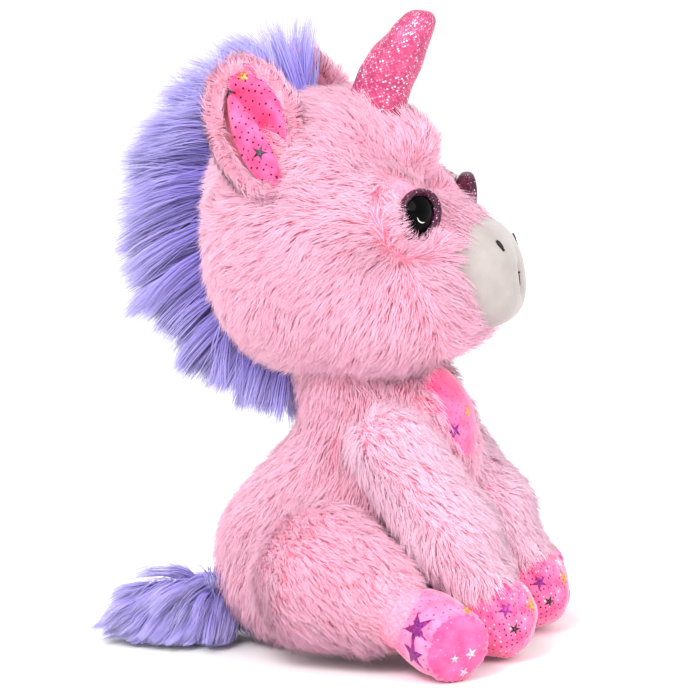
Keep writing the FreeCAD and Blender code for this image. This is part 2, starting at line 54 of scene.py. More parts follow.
MM = 0.001
SKIN_REACH, HALVINGS = 130.0, 26        # how far a skin is looked for, and how finely
STRAND_FACES = 190_000                  # the most faces in one piece of pile
PILE_STEPS, PILE_RADIUS, PILE_CLING = 3, 0.155, 0.26
PLUME_STEPS, PLUME_RADIUS, PLUME_CLING = 5, 0.18, 0.55
RIGHT, LEFT = -1, 1
SIDES = ((RIGHT, "right"), (LEFT, "left"))
NAMES = dict(SIDES)
PIVOTS = {j["name"]: np.array(j["pos_m"]) / MM for j in frame["joints"]}


def corners(*names):
    """Lowest and highest corner of some CAD nodes together, in millimetres."""
    lows, highs = zip(*(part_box(name) for name in names))
    return np.min(np.array(lows), 0) / MM, np.max(np.array(highs), 0) / MM


def middle_of(*names):
    low, high = corners(*names)
    return (low + high) / 2


# ---- small vector helpers

def unit(vectors):
    vectors = np.asarray(vectors, float)
    size = np.linalg.norm(vectors, axis=-1, keepdims=True)
    return vectors / np.maximum(size, 1e-9)


def norm(vectors):
    return np.linalg.norm(vectors, axis=1)


def across(vectors, normals):
    """The part of each vector that lies in its surface."""
    return vectors - normals * np.sum(vectors * normals, -1, keepdims=True)


def smooth_step(low, high, value):
    t = np.clip((value - low) / (high - low), 0, 1)
    return t * t * (3 - 2 * t)


def wave_noise(points, wavelength, seed, channels=1):
    """Smooth seeded noise in about -1..1: a sum of sine waves in random directions."""
    draw = np.random.default_rng(seed)
    total = np.zeros((len(points), channels))
    waves = 7
    for _ in range(waves):
        direction = unit(draw.normal(size=3)) * (tau / wavelength)
        direction = direction * draw.uniform(0.6, 1.5)
        phase = points @ direction
        for channel in range(channels):
            total[:, channel] += np.sin(phase + draw.uniform(0, tau))
    return total / sqrt(waves)


# ---- soft fields: negative inside, in millimetres

def ellipsoid(points, centre, radii):
    q = (points - centre) / radii
    size = norm(q)
    return (size - 1) * np.min(radii) * 0.5 + (size - 1) * np.mean(radii) * 0.5


def block(points, centre, radii, power):
    """A superellipsoid: a ball with fuller corners."""
    q = np.abs(points - centre) / radii
    size = np.sum(q ** power, axis=1) ** (1 / power)
    return (size - 1) * np.mean(radii)


def round_cone(points, start, end, start_radius, end_radius):
    axis = end - start
    along = np.clip((points - start) @ axis / (axis @ axis), 0, 1)
    nearest = start + along[:, None] * axis
    radius = start_radius + (end_radius - start_radius) * along
    return norm(points - nearest) - radius


def melt(first, second, width):
    """A union of two fields with a soft fillet of the given width."""
    mix = np.clip(0.5 + 0.5 * (second - first) / width, 0, 1)
    return second + (first - second) * mix - width * mix * (1 - mix)


# ---- skins: closed meshes with what the pile on them needs

class Skin:
    """A closed surface: points, quads or triangles, and a unit normal at each point."""

    def __init__(self, points, faces):
        self.points = points
        self.faces = faces
        self.triangles = np.array([
            (face[0], face[i], face[i + 1]) for face in faces for i in range(1, len(face) - 1)])
        self.normals = self.point_normals()

    def point_normals(self):
        a, b, c = (self.points[self.triangles[:, i]] for i in range(3))
        flat = np.cross(b - a, c - a)
        total = np.zeros_like(self.points)
        for i in range(3):
            np.add.at(total, self.triangles[:, i], flat)
        return unit(total)

    def mesh(self, name, inset=0.0):
        return new_mesh(name, self.points - self.normals * inset, self.faces)

    def swell(self, rise, floor=None):
        """Moves each point out by its own rise, but not under the floor."""
        self.points += self.normals * rise[:, None]
        if floor is not None:
            self.points[:, 2] = np.maximum(self.points[:, 2], floor)

    def tree(self):
        return BVHTree.FromPolygons([tuple(p) for p in self.points], self.faces)


def sphere_grid(rings, columns):
    """Directions over a sphere from pole to pole, and the faces that join them."""
    directions = [(0.0, 0.0, 1.0)]
    for ring in range(1, rings):
        polar = pi * ring / rings
        for column in range(columns):
            turn = tau * column / columns
            directions.append((sin(polar) * cos(turn), sin(polar) * sin(turn), cos(polar)))
    directions.append((0.0, 0.0, -1.0))
    return np.array(directions), pole_faces(rings - 1, columns, len(directions) - 1)


def pole_faces(rings, columns, last=None):
    """Faces round a pole, column by column; with a last point they close there."""
    faces = []
    for column in range(columns):
        after = (column + 1) % columns
        faces.append((0, 1 + column, 1 + after))
        for ring in range(rings - 1):
            a, b = 1 + ring * columns, 1 + (ring + 1) * columns
            faces.append((a + column, b + column, b + after, a + after))
        if last:
            faces.append((last - columns + column, last, last - columns + after))
    return faces


def skin_of(field, centre, rings=48, columns=72, axis=(0, 0, 1), stretch=1.0):
    """The surface where a field is zero, found outwards from a point inside it."""
    directions, faces = sphere_grid(rings, columns)
    directions[:, 2] *= stretch
    turn = Vector((0, 0, 1)).rotation_difference(Vector(axis)).to_matrix()
    directions = unit(directions) @ np.array(turn).T
    low, high = np.zeros(len(directions)), np.full(len(directions), SKIN_REACH)
    for _ in range(HALVINGS):
        middle = (low + high) / 2
        inside = field(centre + directions * middle[:, None]) < 0
        low, high = np.where(inside, middle, low), np.where(inside, high, middle)
    return Skin(centre + directions * low[:, None], faces)


def new_mesh(name, points, faces):
    mesh = bpy.data.meshes.new(name)
    mesh.from_pydata([tuple(p) for p in np.asarray(points) * MM], [], faces)
    mesh.update()
    mesh.shade_smooth()
    thing = bpy.data.objects.new(name, mesh)
    scene.collection.objects.link(thing)
    return thing


def dress(thing, material, body, slot, *stood_for):
    """Material, CAD body, slot (not used) and the CAD nodes that a piece stands for."""
    thing.data.materials.append(material)
    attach(thing, body)
    if stood_for:
        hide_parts(*stood_for)
    return thing


def cover(thing, material, body, slot, fill, *stood_for):
    """Dresses a padded piece; fill, how full it is, is not used."""
    dress(thing, material, body, slot, *stood_for)


# ---- pile

def scatter(skin, count, draw):
    """Random places on a skin: point, normal, and the triangle corners' shares."""
    a, b, c = (skin.points[skin.triangles[:, i]] for i in range(3))
    area = norm(np.cross(b - a, c - a))
    chosen = draw.choice(len(area), count, p=area / area.sum())
    u, v = draw.random(count), draw.random(count)
    flip = u + v > 1
    u, v = np.where(flip, 1 - u, u), np.where(flip, 1 - v, v)
    shares = np.stack([1 - u - v, u, v], 1)
    corner = skin.triangles[chosen]
    points = np.einsum("nk,nkd->nd", shares, skin.points[corner])
    normals = unit(np.einsum("nk,nkd->nd", shares, skin.normals[corner]))
    return points, normals


def clumps(points, size, seed):
    """A clump number for each point: the cell of a warped grid that it falls in."""
    warped = points + wave_noise(points, size * 4, seed, 3) * size * 0.5
    cells = np.floor(warped / size).astype(np.int64)
    _, number = np.unique(cells @ np.array([1, 4099, 16785407]), return_inverse=True)
    return number.ravel()


def gather(values, number):
    """The mean of values over each clump, given back at every strand."""
    count = np.bincount(number)
    total = np.stack([np.bincount(number, values[:, i]) for i in range(values.shape[1])], 1)
    return (total / count[:, None])[number]


def strands(name, order, lines, radii, tones, facing, material, body, slot):
    """Closed three-sided tapering fibres.  lines is (fibres, steps, 3); the last step is the tip.

    facing is the way that the fur as a whole faces at each fibre; the light falls on a fibre
    mostly as it falls on the fur around it.
    """
    fibres, steps, _ = lines.shape
    rings = steps - 1
    corner_count = rings * 3 + 1
    face_list = [(0, 2, 1)]
    for ring in range(rings - 1):
        for side in range(3):
            a, b = ring * 3 + side, ring * 3 + (side + 1) % 3
            face_list += [(a, b, b + 3), (a, b + 3, a + 3)]
    low, tip = (rings - 1) * 3, rings * 3
    face_list += [(low + side, low + (side + 1) % 3, tip) for side in range(3)]
    pattern = np.array(face_list)
    per_piece = STRAND_FACES // len(pattern)
    made = []
    for part in range(0, fibres, per_piece):
        chosen = order[part:part + per_piece]
        made.append(strand_piece(
            f"{name}_{len(made) + 1}", lines[chosen], radii[chosen], tones[chosen],
            facing[chosen], pattern, corner_count))
        dress(made[-1], material, body, slot)
    return made


def strand_piece(name, lines, radii, tones, facing, pattern, corner_count):
    fibres, steps, _ = lines.shape
    rings = steps - 1
    ahead = unit(np.gradient(lines, axis=1))
    aside = unit(np.cross(ahead, np.array([0.31, 0.52, 0.79])))
    upward = np.cross(ahead, aside)
    points = np.empty((fibres, corner_count, 3))
    normals = np.empty((fibres, corner_count, 3))
    along = np.empty((fibres, corner_count))
    for side in range(3):
        turn = tau * side / 3
        offset = aside * cos(turn) + upward * sin(turn)
        points[:, side:rings * 3:3] = lines[:, :rings] + offset[:, :rings] * radii[:, :rings, None]
        normals[:, side:rings * 3:3] = offset[:, :rings] * 0.4 + facing[:, None]
        along[:, side:rings * 3:3] = np.arange(rings) / rings
    points[:, -1] = lines[:, -1]
    normals[:, -1] = facing + ahead[:, -1] * 0.3
    along[:, -1] = 1.0
    points[:, :, 2] = np.maximum(points[:, :, 2], 0.05)
    faces = (pattern[None] + (np.arange(fibres) * corner_count)[:, None, None]).reshape(-1)
    face_count = len(faces) // 3
    mesh = bpy.data.meshes.new(name)
    mesh.vertices.add(fibres * corner_count)
    mesh.vertices.foreach_set("co", (points * MM).astype(np.float32).ravel())
    mesh.loops.add(len(faces))
    mesh.loops.foreach_set("vertex_index", faces.astype(np.int32))
    mesh.polygons.add(face_count)
    mesh.polygons.foreach_set("loop_start", np.arange(0, len(faces), 3, dtype=np.int32))
    mesh.polygons.foreach_set("use_smooth", np.ones(face_count, bool))
    layer = mesh.uv_layers.new(name="OFBake")
    tone = np.repeat(tones, corner_count)
    spot = np.stack([tone, along.ravel()], 1)[faces] * 0.98 + 0.01
    layer.uv.foreach_set("vector", spot.astype(np.float32).ravel())
    mesh.update(calc_edges=True)
    mesh.normals_split_custom_set_from_vertices(unit(normals).reshape(-1, 3))
    thing = bpy.data.objects.new(name, mesh)
    scene.collection.objects.link(thing)
    return thing


def slope(field, points, step=0.5):
    """Which way a field rises at each point."""
    rise = np.empty_like(points)
    for axis in range(3):
        shift = np.zeros(3)
        shift[axis] = step
        rise[:, axis] = field(points + shift) - field(points - shift)
    return unit(rise)


def clumped(line, number, cling, power):
    """Draws fibres towards the middle of their clump, more so at their tips."""
    steps = line.shape[1]
    middle = np.stack([gather(line[:, i], number) for i in range(steps)], 1)
    pull = cling * (np.arange(steps) / (steps - 1)) ** power
    return line + (middle - line) * pull[None, :, None]


def tapered(radius, shares, thinning, steps):
    """Radii along each fibre; shares makes some fibres thicker than others."""
    taper = 1 - thinning * np.arange(steps) / (steps - 1)
    return radius * shares[:, None] * taper[None]


def pile(name, skin, count, comb, length, material, body, seed, keep, clump=2.3, lift=0.8, face=None):
    """Combed, clumped fur over a skin.  comb gives the way the pile lies at each point."""
    draw = np.random.default_rng(seed)
    roots, normals = scatter(skin, count, draw)
    kept = keep(roots)
    roots, normals = roots[kept], normals[kept]
    lie = across(comb(roots), normals)
    swirl = wave_noise(roots, 18.0, seed + 1, 3) * 0.3
    lie = unit(across(lie + swirl, normals))
    number = clumps(roots, clump, seed + 2)
    own = draw.normal(size=(number.max() + 1, 3)) * 0.15
    reach = draw.uniform(0.86, 1.12, number.max() + 1)[number]
    reach *= draw.uniform(0.72, 1.08, len(roots))
    size = (length(roots) if callable(length) else length) * reach
    stray = draw.normal(size=roots.shape) * 0.11
    low = unit(normals * (lift + 0.45) + lie * 0.55 + own[number] * 0.5 + stray)
    high = unit(normals * lift * 0.5 + lie + own[number] + stray * 1.6 - [0, 0, 0.12])
    line = [roots - normals * 0.7]
    for share in np.linspace(0, 1, PILE_STEPS - 1):
        way = unit(low * (1 - share) + high * share)
        line.append(line[-1] + way * (size / (PILE_STEPS - 1))[:, None])
    line = clumped(np.stack(line, 1), number, PILE_CLING, 1.3)
    radii = tapered(PILE_RADIUS, draw.uniform(0.8, 1.25, len(roots)), 0.5, PILE_STEPS)
    tones = np.clip(0.5 + own[number, 0] * 0.8 + draw.normal(size=len(roots)) * 0.14
                    + wave_noise(roots, 40.0, seed + 3)[:, 0] * 0.1, 0, 1)
    towards = normals if face is None else face(roots + normals * 3, normals)
    facing = unit(towards + lie * 0.05 + own[number] * 0.3)
    order = np.argsort(roots[:, 2] + roots[:, 0] * 0.5)
    return strands(name, order, line, radii, tones, facing, material, body, "pink_fur")


def basis(axis):
    """Two directions across an axis, and the axis, all of unit length and right-handed."""
    axis = unit(axis)
    hint = np.array([0, 0, 1.0]) if abs(axis[2]) < 0.9 else np.array([0, 1.0, 0])
    first = unit(across(hint, axis))
    return first, np.cross(axis, first), axis


def softened(outline, rounds=3):
    """An open outline with its corners cut to a smooth curve."""
    points = np.array(outline, float)
    for _ in range(rounds):
        ahead, behind = points[1:], points[:-1]
        cut = np.empty((2 * len(ahead), points.shape[1]))
        cut[0::2] = behind * 0.75 + ahead * 0.25
        cut[1::2] = behind * 0.25 + ahead * 0.75
        points = np.vstack([points[:1], cut, points[-1:]])
    return points


def turned(profile, centre, axis, columns=72):
    """A skin turned about an axis.  profile is (along, radius), far pole first."""
    first, second, axis = basis(axis)
    turn = tau * np.arange(columns) / columns
    ring = first * np.cos(turn)[:, None] + second * np.sin(turn)[:, None]
    points = [[centre + axis * profile[0][0]]]
    for along, radius in profile[1:-1]:
        points.append(centre + axis * along + ring * radius)
    points.append([centre + axis * profile[-1][0]])
    points = np.concatenate(points)
    return Skin(points, pole_faces(len(profile) - 2, columns, len(points) - 1))


def disc_grid(rings, columns):
    """Points of a unit disc, its faces and its rim, centre first."""
    turn = tau * np.arange(columns) / columns
    circle = np.stack([np.cos(turn), np.sin(turn)], 1)
    points = [np.zeros((1, 2))] + [circle * ring / rings for ring in range(1, rings + 1)]
    rim = [1 + (rings - 1) * columns + column for column in range(columns)]
    return np.concatenate(points), pole_faces(rings, columns), rim


def plate(name, top, bottom, faces, rim):
    """A closed thin sheet between two sets of points that share faces and a rim."""
    count = len(top)
    everything = list(faces) + [tuple(count + i for i in reversed(face)) for face in faces]
    for here, after in zip(rim, rim[1:] + rim[:1]):
        everything.append((after, here, count + here, count + after))
    return new_mesh(name, np.vstack([top, bottom]), everything)


def print_layer(thing, spots):
    """Where each point lies on the printed cloth, in millimetres."""
    layer = thing.data.uv_layers.new(name="print")
    corner = np.empty(len(thing.data.loops), np.int32)
    thing.data.loops.foreach_get("vertex_index", corner)
    layer.uv.foreach_set("vector", np.asarray(spots)[corner].astype(np.float32).ravel())


def wrapped(points, centre, axis, radius):
    """Cloth laid over a ball from its pole: places on the cloth in millimetres."""
    first, second, axis = basis(axis)
    ray = unit(points - centre)
    polar = np.arccos(np.clip(ray @ axis, -1, 1))
    flat = np.stack([ray @ first, ray @ second], 1)
    return unit(flat) * (polar * radius)[:, None]


# ---- materials

def linear(value):
    """A linear colour from a hex string; any other value stays as it is."""
    if not isinstance(value, str):
        return value
    parts = [int(value[i:i + 2], 16) / 255 for i in (0, 2, 4)]
    return (*[p / 12.92 if p <= 0.04045 else ((p + 0.055) / 1.055) ** 2.4 for p in parts], 1.0)


class Nodes:
    """A material's node tree, with short ways to add what these materials need."""

    def __init__(self, name, roughness, **values):
        self.material = bpy.data.materials.new(name)
        self.material.use_nodes = True
        self.tree = self.material.node_tree
        self.shader = self.tree.nodes["Principled BSDF"]
        self.shader.inputs["Roughness"].default_value = roughness
        for key, value in values.items():
            self.shader.inputs[key.replace("_", " ")].default_value = value

    def add(self, kind, sockets=None, **settings):
        node = self.tree.nodes.new(kind)
        for key, value in settings.items():
            setattr(node, key, value)
        for key, value in (sockets or {}).items():
            self.feed(node.inputs[key], value)
        return node

    def feed(self, socket, value):
        """Sets a socket from another socket, a number, a vector or a hex colour."""
        if isinstance(value, bpy.types.NodeSocket):
            self.tree.links.new(value, socket)
        else:
            socket.default_value = linear(value)

    def place(self, layer=None):
        """Coordinates: a named layer of the mesh, or metres in the object's own frame."""
        if layer is None:
            return self.add("ShaderNodeTexCoord").outputs["Object"]
        return self.add("ShaderNodeUVMap", uv_map=layer).outputs["UV"]

    def noise(self, place, scale, detail=2.0):
        sockets = {"Vector": place, "Scale": scale, "Detail": detail}
        return self.add("ShaderNodeTexNoise", sockets).outputs["Fac"]

    def ramp(self, factor, *stops, smooth=True):
        node = self.add("ShaderNodeValToRGB")
        node.color_ramp.interpolation = "LINEAR" if smooth else "CONSTANT"
        while len(node.color_ramp.elements) < len(stops):
            node.color_ramp.elements.new(0.5)
        for element, (place, colour) in zip(node.color_ramp.elements, stops):
            element.position = place
            element.color = linear(colour)
        self.feed(node.inputs["Fac"], factor)
        return node.outputs["Color"]

    def mix(self, factor, first, second):
        sockets = {"Factor": factor, 6: first, 7: second}
        return self.add("ShaderNodeMix", sockets, data_type="RGBA").outputs[2]

    def math(self, operation, first, second, third=0.0):
        sockets = {0: first, 1: second, 2: third}
        return self.add("ShaderNodeMath", sockets, operation=operation).outputs[0]

    def split(self, colour):
        return self.add("ShaderNodeSeparateColor", {"Color": colour}).outputs

    def colour(self, value):
        self.feed(self.shader.inputs["Base Color"], value)

    def bump(self, height, strength, depth):
        """Relief of the given depth in millimetres."""
        sockets = {"Strength": strength, "Distance": depth * MM, "Height": height}
        node = self.add("ShaderNodeBump", sockets)
        self.feed(self.shader.inputs["Normal"], node.outputs["Normal"])

    def cells(self, place, pitch, turn, wander):
        """A printed grid of spots: how far each place is from its spot, and a random colour."""
        mapping = self.add("ShaderNodeMapping", {
            "Vector": place, "Rotation": (0, 0, turn), "Scale": (1 / pitch, 1 / pitch, 1)})
        sockets = {"Vector": mapping.outputs["Vector"], "Scale": 1, "Randomness": wander}
        node = self.add("ShaderNodeTexVoronoi", sockets, voronoi_dimensions="2D", feature="F1")
        return node.outputs["Distance"], self.split(node.outputs["Color"])


def fur_material(name, roots, middle, tips, pale):
    """Colour along each fibre, shifted by the fibre's own tone. The deeper pink towards the roots is
    partly the fibres' own colour and partly painted shade deep in the pile.
    """
    nodes = Nodes(name, 0.9, Sheen_Weight=0.15, Sheen_Roughness=0.5, Specular_IOR_Level=0.05)
    split = nodes.add("ShaderNodeSeparateXYZ", {"Vector": nodes.place("OFBake")}).outputs
    plain = nodes.ramp(split["Y"], (0.0, roots), (0.45, middle), (0.95, tips))
    light = nodes.ramp(split["Y"], (0.0, middle), (0.5, tips), (1.0, pale))
    nodes.colour(nodes.mix(split["X"], plain, light))
    return nodes.material


def grained_material(name, dark, light, roughness, scale, low, high, relief=0, detail=2.0, **values):
    """Plain stuff with a fine grain from dark to light; relief is in millimetres."""
    nodes = Nodes(name, roughness, **values)
    grain = nodes.noise(nodes.place(), scale, detail)
    nodes.colour(nodes.ramp(grain, (low, dark), (high, light)))
    if relief:
        nodes.bump(grain, 0.5, relief)
    return nodes.material


def hide_material(name, dark, light):
    """Knitted backing under the pile; its deeper colour is partly painted shade, seen in the gaps
    between fibres.
    """
    return grained_material(name, dark, light, 0.95, 900, 0.35, 0.65, 0.3, Specular_IOR_Level=0.1)


def foil_material(name, dark, light):
    """Crinkled metallic foil."""
    return grained_material(name, dark, light, 0.35, 1400, 0.4, 0.62, 0.15, 3.0, Metallic=0.5)


def gloss_material(name, dark, light, roughness, level=0.35):
    """Moulded plastic with the faintest mottle."""
    return grained_material(name, dark, light, roughness, 500, 0.3, 0.7, Specular_IOR_Level=level)


def printed_material(name, dark, light, dots, pitch, bright, share, size):
    """Short velour printed with rows of foil dots."""
    nodes = Nodes(name, 0.6, Sheen_Weight=0.6, Sheen_Roughness=0.35, Specular_IOR_Level=0.3)
    place = nodes.place("print")
    colour = nodes.ramp(nodes.noise(place, 0.16, 4.0), (0.35, dark), (0.65, light))
    nap = nodes.noise(place, 2.2, 3.0)
    colour = nodes.mix(nodes.math("MULTIPLY", nap, 0.35), colour, light)
    distance, chance = nodes.cells(place, pitch, 0.7, 0.42)
    reach = nodes.math("MULTIPLY_ADD", chance["Green"], size * 0.45, size * 0.75)
    spot = nodes.math("LESS_THAN", distance, reach)
    shown = nodes.math("MULTIPLY", spot, nodes.math("LESS_THAN", chance["Red"], share))
    ink = dots
    if bright is not None:
        ink = nodes.mix(nodes.math("GREATER_THAN", chance["Blue"], 0.78), dots, bright)
    nodes.colour(nodes.mix(shown, colour, ink))
    nodes.bump(nap, 0.45, 0.35)
    return nodes.material


def horn_material():
    """Hot-pink foil with a fine slanting grid of bright and dark flecks; the flecks show stronger in
    random patches as painted glints.
    """
    nodes = Nodes("horn_foil", 0.38, Metallic=0.25, Specular_IOR_Level=0.6)
    place = nodes.place("print")
    distance, chance = nodes.cells(place, 0.82, 0.75, 0.3)
    pink = nodes.ramp(nodes.noise(place, 0.12, 3.0), (0.35, "A82E5E"), (0.65, "C84474"))
    fleck = nodes.ramp(chance["Red"], (0.0, "9A2858"), (0.3, "C84878"),
                       (0.55, "E0708F"), (0.74, "F0A0C4"), (0.9, "FFF4FA"),
                       smooth=False)
    grid = nodes.math("LESS_THAN", distance, 0.36)
    # Random patches where the flecks show at full strength: painted glints.
    glint_patches = nodes.ramp(nodes.noise(place, 0.22, 2.0), (0.42, "000000"), (0.6, "FFFFFF"))
    share = nodes.math("MULTIPLY", grid, nodes.math("MULTIPLY_ADD", glint_patches, 0.5, 0.5))
    nodes.colour(nodes.mix(share, pink, fleck))
    nodes.bump(distance, 0.4, 0.3)
    return nodes.material


def velvet_material(name, dark, light):
    nodes = Nodes(name, 0.85, Sheen_Weight=0.5, Sheen_Roughness=0.4, Specular_IOR_Level=0.2)
    place = nodes.place()
    patch = nodes.noise(place, 90, 3.0)
    nap = nodes.noise(place, 1800, 2.0)
    colour = nodes.ramp(patch, (0.3, dark), (0.7, light))
    nodes.colour(nodes.mix(nodes.math("MULTIPLY", nap, 0.3), colour, dark))
    nodes.bump(nap, 0.5, 0.3)
    return nodes.material


def glitter_material():
    nodes = Nodes("eye_glitter", 0.35, Metallic=0.5, Coat_Weight=0.25, Coat_Roughness=0.05)
    sockets = {"Vector": nodes.place(), "Scale": 2600}
    cells = nodes.add("ShaderNodeTexVoronoi", sockets, feature="F1")
    split = nodes.split(cells.outputs["Color"])
    nodes.colour(nodes.ramp(
        split["Red"], (0.0, "1C0410"), (0.5, "4A0E30"),
        (0.8, "7A1A52"), (0.95, "E08CC0"), smooth=False))
    nodes.bump(split["Green"], 0.6, 0.12)
    return nodes.material


def thread_material():
    nodes = Nodes("stitch_thread", 0.6, Specular_IOR_Level=0.3)
    sockets = {"Vector": nodes.place(), "Scale": 900}
    wave = nodes.add("ShaderNodeTexWave", sockets).outputs["Fac"]
    nodes.colour(nodes.ramp(wave, (0.2, "0A0A0C"), (0.9, "26242A")))
    nodes.bump(wave, 0.6, 0.2)
    return nodes.material


# The first colour of each fur, at its roots, is darker partly as painted shade deep in the pile.
PINK_FUR = fur_material("pink_fur", "FF94AC", "FFABC5", "FFBDD6", "FFD2E8")
# A lighter copy of the pink fur for the forelegs, which face the fill light: painted light.
LIT_PINK_FUR = fur_material("lit_pink_fur", "FFA4BC", "FFC2DA", "FFD2E8", "FFD2E8")
PURPLE_FUR = fur_material("purple_fur", "7C66CC", "9A8AE2", "B2A6F0", "D4CEFA")
# The backings are deeper than their pile partly as painted shade in the gaps of the pile.
PINK_HIDE = hide_material("pink_hide", "FF86A2", "FFA0BA")
PURPLE_HIDE = hide_material("purple_hide", "5A48A4", "7864C2")
HOOF_PRINT = printed_material("hoof_print", "F83A7E", "F97BAE", "4A0A30", 2.2, "F6D8A8", 0.85, 0.17)
BAND_PRINT = printed_material("band_print", "F25C94", "FB8CBC", "8A1850", 2.7, None, 0.8, 0.12)
EAR_PRINT = printed_material("ear_print", "EE3470", "F966A0", "3A0820", 2.5, None, 0.85, 0.15)
PATCH_PRINT = printed_material("patch_print", "F4467E", "FA6EA4", "C02868", 1.9, None, 0.8, 0.13)
SOLE_CLOTH = printed_material("sole_cloth", "F83C7E", "F968A2", "FF86B4", 2.4, None, 0.4, 0.12)
HORN_FOIL = horn_material()
GOLD_FOIL = foil_material("gold_foil", "A86A1E", "E8B060")
SILVER_FOIL = foil_material("silver_foil", "B89CB4", "F4E4F0")
PURPLE_FOIL = foil_material("purple_foil", "6A1468", "A83498")
DARK_FOIL = foil_material("dark_foil", "1C1420", "4A3E50")
CREAM = velvet_material("cream_velvet", "9D9491", "AEA6A3")
GLITTER = glitter_material()
PUPIL = gloss_material("eye_black", "010102", "030304", 0.04, 0.05)
FIXING = gloss_material("eye_fixing", "E0DCD0", "F0ECE4", 0.4)
THREAD = thread_material()

# ---- places that the CAD gives

head_low, head_high = corners("head_fur_right", "head_fur_left")
HEAD = middle_of("head_fur_right", "head_fur_left")
HEAD_HALF = (head_high - head_low) / 2
muzzle_low, muzzle_high = corners("muzzle_cover", "muzzle_stuffing")
MUZZLE = middle_of("muzzle_cover", "muzzle_stuffing")
MUZZLE_HALF = (muzzle_high - muzzle_low) / 2
torso_low, torso_high = corners("torso_fur_right", "torso_fur_left")
SEAT_RADIUS = (torso_high[0] - torso_low[0]) / 2
SEAT = np.array([0, torso_high[1] - SEAT_RADIUS, 31.0])
CHEST_RADIUS = SEAT_RADIUS * 0.89
CHEST = np.array([0, torso_low[1] + CHEST_RADIUS, torso_high[2] - CHEST_RADIUS * 0.79])
NECK = PIVOTS["head_nod"]
HORN = PIVOTS["horn_tilt"]
HORN_AXIS = unit([0, -sin(radians(29)), cos(radians(29))])
SKIN_DEPTH = 5.0                        # the skins lie about this far under the CAD's fur
EYE_SINK = 3.2                          # how deep an eye sits in the pile
EYE_BARE, EYE_REACH = 8.9, 16           # no pile on the eye; shorter pile round it
HIDE_RISE = 1.2                         # the cloth lies this far over its skin
FLOOR = 0.25


def mirror(vector, side):
    """A place or direction given for the toy's left, on either side."""
    return np.array(vector, float) * [side, 1, 1]


def eye_centre(side):
    """The middle of an eye, sunk a little into the pile."""
    return middle_of(f"eye_iris_{NAMES[side]}") - eye_axis(side) * EYE_SINK


def eye_axis(side):
    return unit(mirror([sin(radians(33)), -cos(radians(33)), -0.1], side))


# ---- the forms that the fur covers

def head_field(points):
    skull = block(points, HEAD, HEAD_HALF + [0, -1, 0], 2.5)
    bridge = ellipsoid(points, [0, -33.0, 145.0], [23.0, 29.0, 17.0])
    form = skull
    for side in (RIGHT, LEFT):
        forehead = (points - [0, -41.5, 168.5]) @ unit(mirror([0.42, -1, 0.12], side))
        form = -melt(-form, -forehead, 8)
    crown = ellipsoid(points, [0, -30.5, 175.5], [16.0, 16.5, 14.5])
    form = melt(melt(form, crown, 6), bridge, 12)
    for side in (RIGHT, LEFT):
        cheek = ellipsoid(points, HEAD + mirror([13, -22, -24], side), [28.0, 32.0, 25.5])
        form = melt(form, cheek, 8)
        jowl = ellipsoid(points, MUZZLE + mirror([9, 11, 9.5], side), [17.0, 14.0, 14.0])
        form = melt(form, jowl, 4)
        socket = eye_centre(side) - eye_axis(side) * 19.3 + mirror([2.7, 1.8, -5.0], side)
        form = melt(form, ellipsoid(points, socket, [24.5, 24.0, 20.5]), 8)
    return form + SKIN_DEPTH


def muzzle_field(points):
    tilted = points + np.outer(points[:, 2] - MUZZLE[2], [0, -0.12, 0])
    return block(tilted, MUZZLE + [0, 0.5, 0.6], MUZZLE_HALF + [-3.5, 0, 0.8], 2.6)


def torso_field(points):
    body = round_cone(points, SEAT, CHEST, SEAT_RADIUS, CHEST_RADIUS)
    bulge = ellipsoid(points, [0, -30.0, 79.0], [27.0, 27.0, 25.0])
    body = melt(body, bulge, 10)
    throat = round_cone(points, CHEST + [0, 2, 8], NECK + [0, 2, 2], 27.0, 23.0)
    return np.maximum(melt(body, throat, 10) + SKIN_DEPTH, 0.8 - points[:, 2])


HOOF_RADIUS = 14.0


def foreleg_line(side):
    name = NAMES[side]
    low, high = corners(f"fore_hoof_{name}")
    hoof = np.array([(low[0] + high[0]) / 2, low[1] + HOOF_RADIUS, low[2] + HOOF_RADIUS])
    shoulder = PIVOTS[f"foreleg_swing_{name}"] + [0, 5, -2]
    return shoulder, hoof


def foreleg_path(side):
    """The sleeve hangs from the shoulder, then reaches forward to the hoof."""
    shoulder, hoof = foreleg_line(side)
    knee = np.array([hoof[0], shoulder[1] - 14, 44.0])
    ankle = hoof + [0, 6.5, 11.0]
    return shoulder + [0, 6, 4], knee, ankle


def foreleg_field(points, side):
    shoulder, knee, ankle = foreleg_path(side)
    upper = round_cone(points, shoulder, knee, 17.0, 17.0)
    lower = round_cone(points, knee, ankle, 17.0, 15.0)
    return melt(upper, lower, 6) + SKIN_DEPTH


def hoof_field(points, side):
    _, hoof = foreleg_line(side)
    form = block(points, hoof + [0, 0.5, 0], [13.8, 14.0, 14.0], 2.25)
    return np.maximum(form, FLOOR - points[:, 2])


def hind_line(side):
    name = NAMES[side]
    return PIVOTS[f"hind_leg_lift_{name}"], middle_of(f"hind_sole_{name}")


def hind_field(points, side):
    hip, sole = hind_line(side)
    ankle = hip + (sole - hip) * 0.60
    leg = round_cone(points, hip + [0, 0, 0.5], ankle, 27.5, 15.5) + SKIN_DEPTH
    return np.maximum(leg, 0.8 - points[:, 2])


def body_field(points):
    """Torso and legs as one soft form: the light falls on their pile as on this."""
    form = torso_field(points)
    for side in (RIGHT, LEFT):
        form = melt(form, foreleg_field(points, side), 16)
        form = melt(form, hind_field(points, side), 20)
    return form


def body_face(points, _):
    return slope(body_field, points)


BIB_HALF, BIB_HEIGHT = 16, 83           # half the bib's size, and its middle's height


